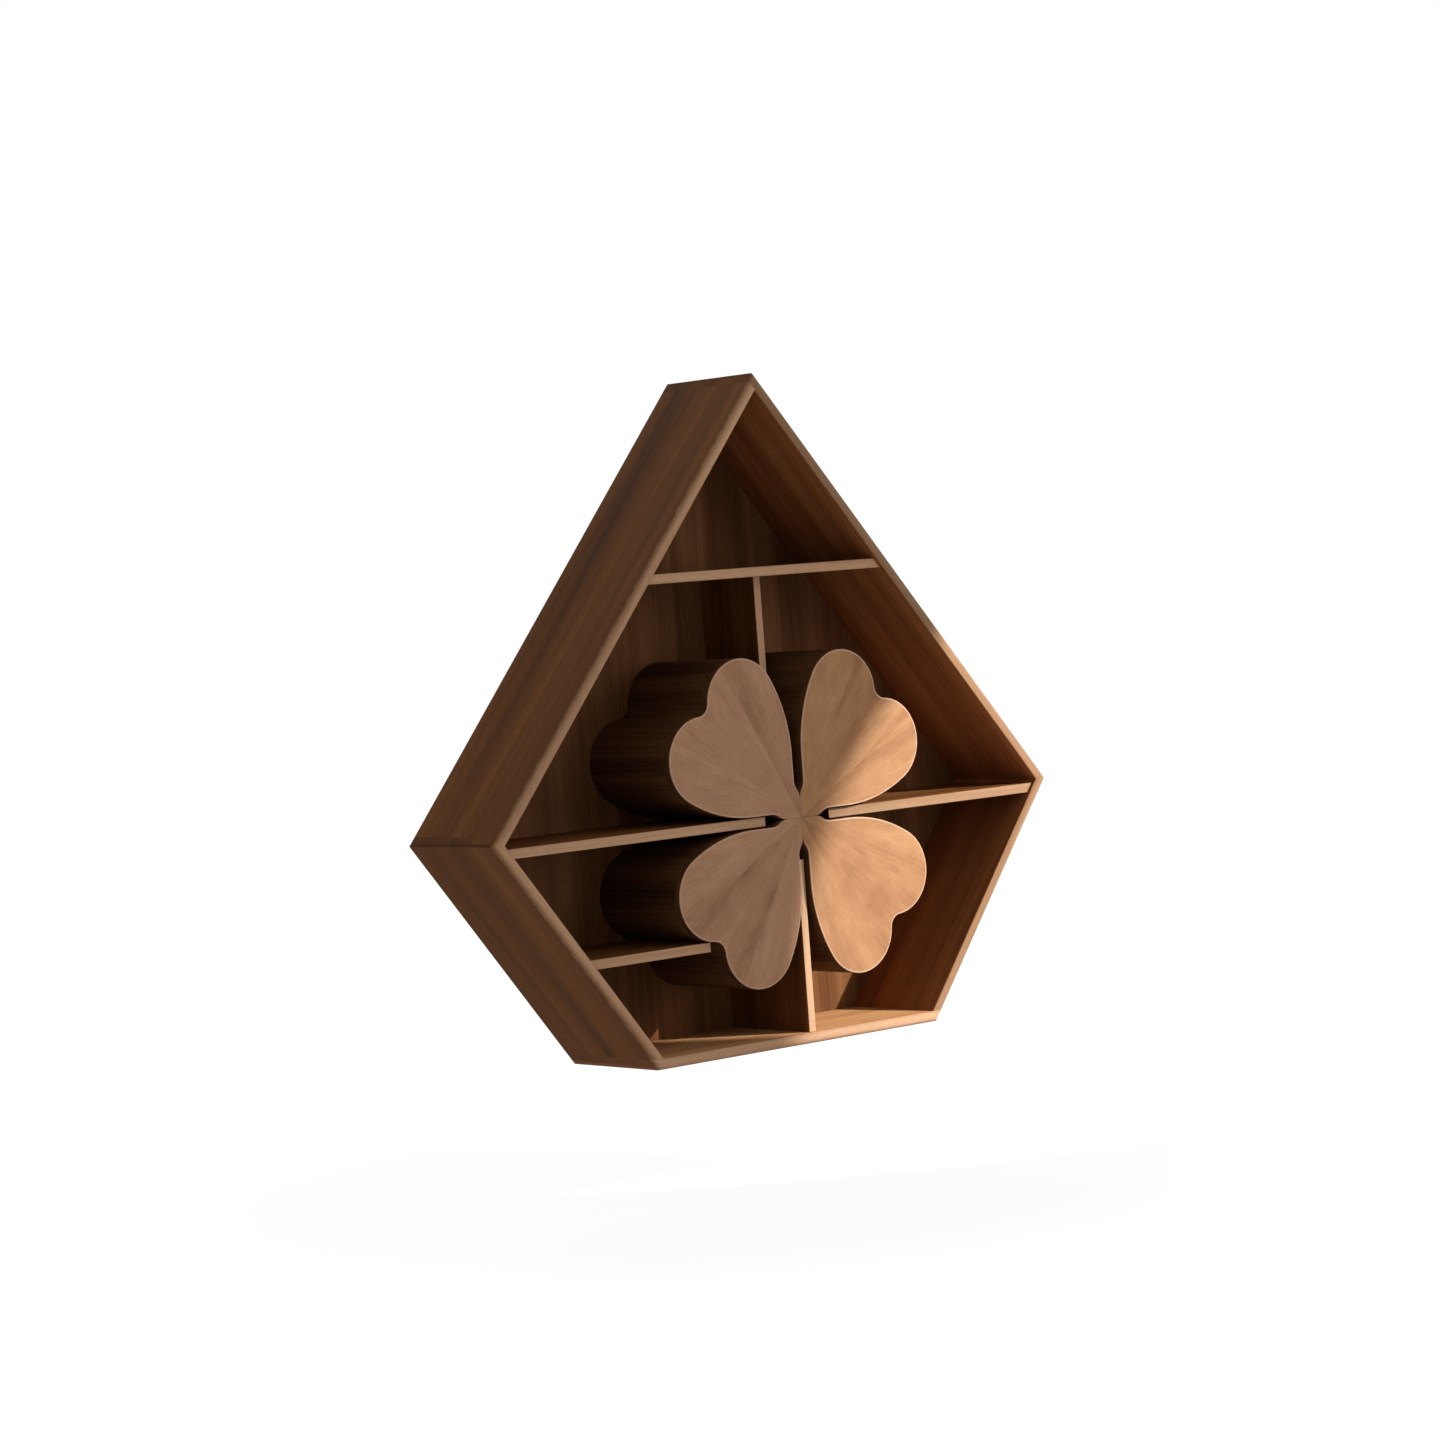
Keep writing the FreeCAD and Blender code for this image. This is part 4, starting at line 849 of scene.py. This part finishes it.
def leaf_walnut(name, seed, tones):
    """Wedges of veneer that meet at the clover's middle, each with its grain along its own middle line.

    The angle about the middle, in wedges, numbers them. Within a wedge the grain has the polar form
    (r cos a, r sin a), with a measured from its middle line."""
    wood = Finish(name, **LACQUER)
    centred = wood.vector("SUBTRACT", wood.place, (CLOVER[0], 0.0, CLOVER[1]))
    across, depth, up = wood.add("SeparateXYZ", {0: centred}).outputs
    radius = wood.math("SQRT", wood.times(across, across, wood.times(up, up)))
    steps = wood.times(wood.math("ARCTAN2", up, across), WEDGES / (2 * math.pi))
    share, mirror, flitch = matched_strips(wood, steps)
    angle = wood.times(share, 2 * math.pi / WEDGES)
    out = wood.times(radius, wood.math("COSINE", angle))
    side = wood.times(wood.times(radius, wood.math("SINE", angle)), mirror)
    shifted = wood.times(flitch, 0.173, wood.math("ADD", side, 0.9 * seed))
    grain = wood.add("CombineXYZ", {0: out, 1: shifted, 2: depth}).outputs[0]
    tone, pits, height = walnut_grain(wood, grain, 0.26, 0.10, 0.07, 0.02)
    tone = own_tone(wood, tone, wood.math("ADD", flitch, 3.7 * seed), 0.016)
    figure = wood.noise(wood.stretch(grain, (16.0, 34.0, 34.0)), detail=3.0)
    tone = wood.math("ADD", tone, wood.between(figure, 0.3, 0.7, -0.035, 0.035))
    veneer = walnut_colour(wood, tone, pits, *tones)
    to_seam = wood.times(wood.math("SUBTRACT", 0.5, wood.math("ABSOLUTE", share)), radius)
    seam = wood.between(to_seam, 0.0, 0.0016, 0.16, 0.0)
    veneer = wood.mix(seam, veneer, tones[0])
    # A light rim band along each leaf's edge, an edge band whose lightness is partly a painted highlight.
    band_grain = wood.noise(wood.place, scale=300.0, detail=2.0)
    band = wood.ramp(band_grain, (0.35, srgb(184, 146, 120)), (0.65, srgb(208, 170, 144)))
    colour = wood.mix(wood.value("front"), veneer, band)
    # The leaf's edges in the shells' darker walnut: painted shade.
    painted_shade_side = walnut_colour(wood, tone, pits, *PAINTED_SHADE_SHELL_TONES)
    colour = wood.mix(wood.value("end"), colour, painted_shade_side)
    return wood.finish(colour, satin(wood, tone, pits), height, LEAF_RELIEF)


def ply_edge(wood, through, layers, light, dark):
    """Stripes across a plywood edge: light and dark plies in turn, with a thin glue line between them."""
    pair = wood.math("FRACT", wood.times(through, layers / 2))
    ply = wood.math("FRACT", wood.times(through, layers))
    from_middle = wood.math("ABSOLUTE", wood.math("SUBTRACT", ply, 0.5))
    stripes = wood.mix(wood.between(pair, 0.47, 0.53), light, dark)
    return wood.mix(wood.between(from_middle, 0.44, 0.5, 0.0, 0.6), stripes, GLUE)


def shell_walnut(name, seed):
    """Walnut veneer bent round a leaf, its grain from front to back, over a plywood core. Its darker tones
    are painted shade.
    """
    wood = Finish(name, **LACQUER)
    grain = wood.stretch(wood.value("grain", "Vector"), (1.0, 1.0, 1.0), (1.3 * seed, 0.7 * seed, 0.0))
    tone, pits, height = walnut_grain(wood, grain)
    veneer = walnut_colour(wood, tone, pits, *PAINTED_SHADE_SHELL_TONES)
    fleck = wood.noise(wood.place, scale=900.0, detail=2.0)
    light = wood.ramp(fleck, (0.3, srgb(84, 54, 34)), (0.7, srgb(110, 74, 48)))
    dark = wood.ramp(fleck, (0.3, srgb(48, 29, 17)), (0.7, srgb(66, 41, 25)))
    edge = ply_edge(wood, wood.value("through"), 9.0, light, dark)
    colour = wood.mix(wood.value("end"), veneer, edge)
    return wood.finish(colour, satin(wood, tone, pits), height, VENEER_RELIEF)


def panel_walnut(name):
    """The back panel: strips of veneer with upright grain, each the mirror image of the one beside it."""
    wood = Finish(name, **LACQUER)
    across, depth, up = wood.add("SeparateXYZ", {0: wood.place}).outputs
    steps = wood.times(across, 1 / STRIP_WIDTH, 0.31)
    share, mirror, flitch = matched_strips(wood, steps)
    side = wood.times(wood.times(share, STRIP_WIDTH), mirror)
    shifted = wood.times(flitch, 0.29, side)
    grain = wood.add("CombineXYZ", {0: up, 1: shifted, 2: depth}).outputs[0]
    tone, pits, height = walnut_grain(wood, grain, 0.48, 0.18, 0.09, 0.05)
    tone = own_tone(wood, tone, flitch, 0.03)
    veneer = walnut_colour(wood, tone, pits, *PANEL_TONES)
    seam = wood.between(wood.math("ABSOLUTE", share), 0.4955, 0.5, 0.0, 0.5)
    veneer = wood.mix(seam, veneer, PANEL_TONES[0])
    return wood.finish(veneer, satin(wood, tone, pits), height, VENEER_RELIEF)


def pale_wood(name, tones, grain_scale, layers=0.0, faces=None):
    """Birch or beech: fine grain with short flecks, and plies where layers are given.

    grain_scale is how fast the grain changes along X, Y and Z. The plies lie between two faces, given as a
    low and a high place on an axis, or else they follow the board's own thickness and show on its edges."""
    wood = Finish(name, Specular_IOR_Level=0.3)
    scale = np.array(grain_scale)
    long = wood.noise(wood.stretch(wood.place, scale), detail=4.0)
    fine = wood.noise(wood.stretch(wood.place, 7.0 * scale), detail=2.0)
    flecks = wood.between(wood.noise(wood.stretch(wood.place, 3.0 * scale)), 0.62, 0.7)
    tone = wood.times(fine, 0.4, wood.times(long, 0.6))
    colour = wood.ramp(tone, (0.35, tones[0]), (0.5, tones[1]), (0.65, tones[2]))
    colour = wood.mix(wood.times(flecks, 0.35), colour, tones[0])
    if layers:
        shaded = wood.mix(0.55, colour, srgb(150, 108, 70))
        if faces:
            low, high, axis = faces
            place = wood.add("SeparateXYZ", {0: wood.place}).outputs[axis]
            colour = ply_edge(wood, wood.between(place, low, high), layers, colour, shaded)
        else:
            edge = ply_edge(wood, wood.value("through"), layers, colour, shaded)
            colour = wood.mix(wood.value("end"), colour, edge)
    roughness = wood.between(tone, 0.35, 0.65, 0.5, 0.62)
    return wood.finish(colour, roughness, tone, LEAF_RELIEF)


def steel(name, colour, roughness, grain_scale):
    """Zinc plated steel: rolling marks along the sheet, soft spangle and a few dull spots."""
    metal = Finish(name, Metallic=1.0)
    rolled = metal.noise(metal.stretch(metal.place, grain_scale), detail=4.0)
    spangle = metal.add("TexVoronoi", {"Vector": metal.place, "Scale": 160.0}).outputs["Color"]
    spots = metal.between(metal.noise(metal.place, scale=70.0), 0.58, 0.7)
    shade = metal.mix(metal.between(rolled, 0.3, 0.7, 0.0, 0.35), colour, srgb(120, 122, 126))
    tint = metal.mix(0.08, shade, spangle, "OVERLAY")
    dull = metal.mix(metal.times(spots, 0.3), tint, srgb(96, 96, 98))
    plain = metal.between(rolled, 0.3, 0.7, roughness, roughness + 0.14)
    return metal.finish(dull, metal.times(spots, 0.15, plain), rolled, ZINC_RELIEF)


def dress(node, material):
    """The material on a solid that is shown as it is."""
    for slot in nodes[node].material_slots:
        slot.material = material


# The case

aim_camera()

closed = CORNERS + CORNERS[:1]
outer = {side: line(closed[i], closed[i + 1]) for i, side in enumerate(SIDES)}
inner = {side: line(closed[i], closed[i + 1], BOARD) for i, side in enumerate(SIDES)}

# Whether a board laps over the one before it and the one after it, and its lipping's lightness across it
# from the outer to the inner arris, a painted shade and highlight
LAPS = {
    "upper_right": (True, False, (0.95, 0.72)),
    "lower_right": (True, False, (0.95, 0.72)),
    "bottom": (True, True, (1.0, 1.0)),
    "lower_left": (False, True, (0.62, 1.15)),
    "upper_left": (False, False, (0.62, 1.15)),
}
for number, (side, (laps_before, laps_after, lip_shade_and_highlight)) in enumerate(LAPS.items()):
    start, end = closed[number], closed[number + 1]
    before, after = outer[SIDES[number - 1]], outer[SIDES[(number + 1) % 5]]
    wood = board_walnut(side + "_veneer", bearing(start, end), np.mean((start, end), axis=0),
                        seed=number + 1, tones=PAINTED_LIGHT_CASE_TONES[side])
    board = case_board(outer[side], before, after, laps_before, laps_after, lip_shade_and_highlight)
    piece(side, [board], wood, side + "_board", "case")

BOARD_ENDS = (True, False, True, False)
SHELF_ROUNDS = np.where(BOARD_ENDS, EASED, SHELF_ROUND)
left_end, right_end = CLOVER[0] - CLEAR_OF_CLOVER, CLOVER[0] + CLEAR_OF_CLOVER
top_of_middle, under_middle = level_line(CLOVER[1] + SHELF / 2), level_line(CLOVER[1] - SHELF / 2)
divider_left, divider_right = upright_line(CLOVER[0] - DIVIDER / 2), upright_line(CLOVER[0] + DIVIDER / 2)
above_clover, below_clover = (level_line(CLOVER[1] + side * CLEAR_OF_CLOVER) for side in (1, -1))
under_top, under_low = level_line(TOP_SHELF_LEVEL - SHELF), level_line(LOW_SHELF_LEVEL - SHELF)
SHELVES = {
    "top_shelf": (level_line(TOP_SHELF_LEVEL), inner["upper_right"], under_top, inner["upper_left"]),
    "left_shelf": (top_of_middle, upright_line(left_end), under_middle, inner["lower_left"]),
    "right_shelf": (top_of_middle, inner["lower_right"], under_middle, upright_line(right_end)),
    "lower_left_shelf": (level_line(LOW_SHELF_LEVEL), upright_line(LOW_SHELF_END), under_low,
                         inner["lower_left"]),
    "upper_divider": (divider_left, under_top, divider_right, above_clover),
    "lower_divider": (divider_left, below_clover, divider_right, inner["bottom"]),
}
for number, (name, lines) in enumerate(SHELVES.items()):
    shape = outline(*lines)
    turn = math.pi / 2 if "divider" in name else 0.0
    wood = board_walnut(name + "_veneer", turn, shape.mean(axis=0), seed=number + 7)
    front = UPPER_DIVIDER_FRONT if name == "upper_divider" else SHELF_FRONT
    board = plate(shape, front, PANEL_FACE, SHELF_ROUNDS, EASED, BOARD_ENDS)
    piece(name + "_veneered", [board], wood, name, "case", EASED)

dress("back_panel", panel_walnut("panel_veneer"))

# The leaves and the drawers behind them

TIP_END = 0.3
heart_outer = heart()
from_tip = np.min(heart_outer, axis=1)
open_share = np.interp(np.maximum(from_tip, np.roll(from_tip, -1)), (SEAM, FLANK), (0.0, 1.0))
rim = RIM_TIP_ROUND + (RIM_ROUND - RIM_TIP_ROUND) * open_share
band = rim + BAND_LEAST + (RIM_BAND - RIM_ROUND - BAND_LEAST) * open_share
heart_inner = heart(SHELL_WALL)
leaf_ends = TIP_END + (1.0 - TIP_END) * open_share
BOX_TONES = (srgb(184, 148, 106), srgb(206, 172, 130), srgb(220, 190, 150))
CLEAT_TONES = (srgb(170, 134, 92), srgb(196, 160, 116), srgb(212, 180, 136))
BEECH_TONES = (srgb(190, 140, 96), srgb(212, 166, 120), srgb(226, 186, 142))
CLEAT_FACES = (-0.02175, 0.00225, 1)
PLY_MARGIN = 0.0003
DEEP_GRAIN = (60.0, 8.0, 60.0)
LONG_GRAIN = (8.0, 60.0, 60.0)
box_ply = pale_wood("box_ply", BOX_TONES, DEEP_GRAIN, 7.0)
rail_steel = steel("rail_steel_sheet", srgb(196, 198, 202), 0.28, (900.0, 12.0, 900.0))
screw_steel = steel("screw_yellow_zinc", srgb(206, 180, 112), 0.25, (700.0, 700.0, 700.0))
rail_screws = []

for number, (leaf, turn) in enumerate(LEAVES.items()):
    body = leaf + "_drawer"
    outside = heart_outer @ turn.T + CLOVER
    inside = heart_inner @ turn.T + CLOVER
    front = plate(outside, LEAF_FRONT, LEAF_BACK, rim, EASED, leaf_ends, band)
    # Each side's leaf tones: painted light and shade.
    tones = PAINTED_LIGHT_RIGHT_LEAVES if "right" in leaf else PAINTED_LIGHT_LEFT_LEAVES
    wood = leaf_walnut(leaf + "_sunburst", number + 1, tones)
    piece(leaf + "_leaf", [front], wood, leaf + "_leaf_front", body)
    wall = bent_wall(outside, inside, SHELL_FRONT, PANEL_FACE)
    wood = shell_walnut(leaf + "_bent_veneer", number + 1)
    piece(leaf + "_bent_shell", [wall], wood, leaf + "_leaf_shell", "case")
    sign_x, sign_z = turn @ (1, 1)
    x_low, x_high = sorted(CLOVER[0] + sign_x * np.array((BOX_NEAR, BOX_FAR)))
    z_low, z_high = sorted(CLOVER[1] + sign_z * np.array((BOX_LOW, BOX_HIGH)))
    floor_top = z_low + BOX_FLOOR
    x_in, x_out = x_low + BOX_BOARD, x_high - BOX_BOARD
    boards = {
        "box_left": ((x_low, LEAF_BACK, floor_top), (x_in, BOX_BACK, z_high), SIDE_VIEW),
        "box_right": ((x_out, LEAF_BACK, floor_top), (x_high, BOX_BACK, z_high), SIDE_VIEW),
        "box_front": ((x_in, LEAF_BACK, floor_top), (x_out, LEAF_BACK + BOX_BOARD, z_high), FRONT_VIEW),
        "box_back": ((x_in, BOX_BACK - BOX_BOARD, floor_top), (x_out, BOX_BACK, z_high), FRONT_VIEW),
        "box_bottom": ((x_low, LEAF_BACK, z_low), (x_high, BOX_BACK, floor_top), TOP_VIEW),
    }
    for name, (low, high, view) in boards.items():
        board = drawer_board(low, high, view)
        piece("%s_%s" % (leaf, name), [board], box_ply, "%s_leaf_%s" % (leaf, name), body)
    rail_z = CLOVER[1] + sign_z * RAIL_LEVEL
    for kind, rails, rail_body in (("case", CASE_RAILS, "case"), ("drawer", DRAWER_RAILS, body)):
        folded = []
        for place, opens, height in rails:
            shape = channel(height, opens * sign_x) + (CLOVER[0] + sign_x * place, rail_z)
            no_ends = np.zeros(len(shape))
            folded.append(plate(shape, RAIL_FRONT, RAIL_BACK, RAIL_EASED, RAIL_EASED, no_ends, steps=2))
        node = "%s_leaf_%s_rails" % (leaf, kind)
        piece("%s_%s_rail_pair" % (leaf, kind), folded, rail_steel, node, rail_body)
    for place, opens, _ in CASE_RAILS:
        for depth in RAIL_SCREW_DEPTHS:
            head = (CLOVER[0] + sign_x * (place + opens * RAIL_SHEET), depth, rail_z)
            rail_screws.append(screw(RAIL_SCREW, True, head, (-sign_x * opens, 0.0, 0.0)))
    web_low, web_high = sorted(CLOVER[0] + sign_x * np.array(WEB))
    web_faces = (web_low - PLY_MARGIN, web_high + PLY_MARGIN, 0)
    dress(leaf + "_leaf_web", pale_wood(leaf + "_web_ply", CLEAT_TONES, DEEP_GRAIN, 9.0, web_faces))

# The screws, the cleats and the dowels

piece("rail_screw_set", rail_screws, screw_steel, "rail_screws", "case")
panel_screws = [screw(PANEL_SCREW, False, (x, PANEL_REAR, z), (0.0, -1.0, 0.0))
                for x, z in panel_screw_places()]
piece("panel_screw_set", panel_screws, screw_steel, "panel_screws", "case")

cleat_ply = pale_wood("cleat_ply", CLEAT_TONES, LONG_GRAIN, 16.0, CLEAT_FACES)
dress("wall_cleat", cleat_ply)
dress("case_cleat", cleat_ply)
dress("dowels", pale_wood("beech_dowels", BEECH_TONES, (90.0, 90.0, 90.0)))

# The studio

MIDDLE = (0.0, -0.15, -0.40)
FLOOR_LEVEL = -1.40
FLOOR_REACH = 9.0
FADE_FROM = 1.0
FADE_TO = 3.0
GLOW_NEAR = 0.78
GLOW = 1.13


def floor_white():
    """White seen directly, with the object's shadow on it near the object and fading to plain white.

    From below the floor is clear."""
    white = Finish("floor_white", Base_Color=(0.9, 0.9, 0.9, 1.0), Roughness=0.9, Specular_IOR_Level=0.0)
    tree = white.tree
    ends = {0: white.place, 1: (0.0, 0.0, FLOOR_LEVEL)}
    away = white.add("VectorMath", ends, operation="DISTANCE").outputs["Value"]
    fade = white.between(away, FADE_FROM, FADE_TO, GLOW_NEAR, 1.0)
    factor = white.times(fade, seen_directly(tree))
    glow = white.add("Emission", {"Color": (1.0, 1.0, 1.0, 1.0), "Strength": GLOW})
    mix = white.add("MixShader", {0: factor, 1: white.shader.outputs[0], 2: glow.outputs[0]})
    from_below = white.add("NewGeometry").outputs["Backfacing"]
    clear = white.add("BsdfTransparent")
    seen = white.add("MixShader", {0: from_below, 1: mix.outputs[0], 2: clear.outputs[0]})
    tree.links.new(seen.outputs[0], tree.nodes["Material Output"].inputs[0])
    return white.material


floor_mesh = bpy.data.meshes.new("floor")
floor_corners = box_corners((-FLOOR_REACH, -FLOOR_REACH), (FLOOR_REACH, FLOOR_REACH))
floor_mesh.from_pydata([(x, y, FLOOR_LEVEL) for x, y in floor_corners], [], [(0, 1, 2, 3)])
floor_mesh.materials.append(floor_white())
floor = new_object("floor", floor_mesh)
floor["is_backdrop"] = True

light_studio(ambient=0.40)
sunbeam("key", place=(3.10, -4.00, 1.50), aim=(0.84, -0.30, -0.77), radius=0.04, watts=2100.0, cone=16.0,
        blend=0.15)
soft_box("fill", place=(2.6, -4.6, 0.4), aim=MIDDLE, width=2.5, watts=52.0)
soft_box("rear", place=(2.5, 4.5, 2.2), aim=MIDDLE, width=3.0, watts=110.0)

bpy.context.scene.view_settings.view_transform = "Standard"

low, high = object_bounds()
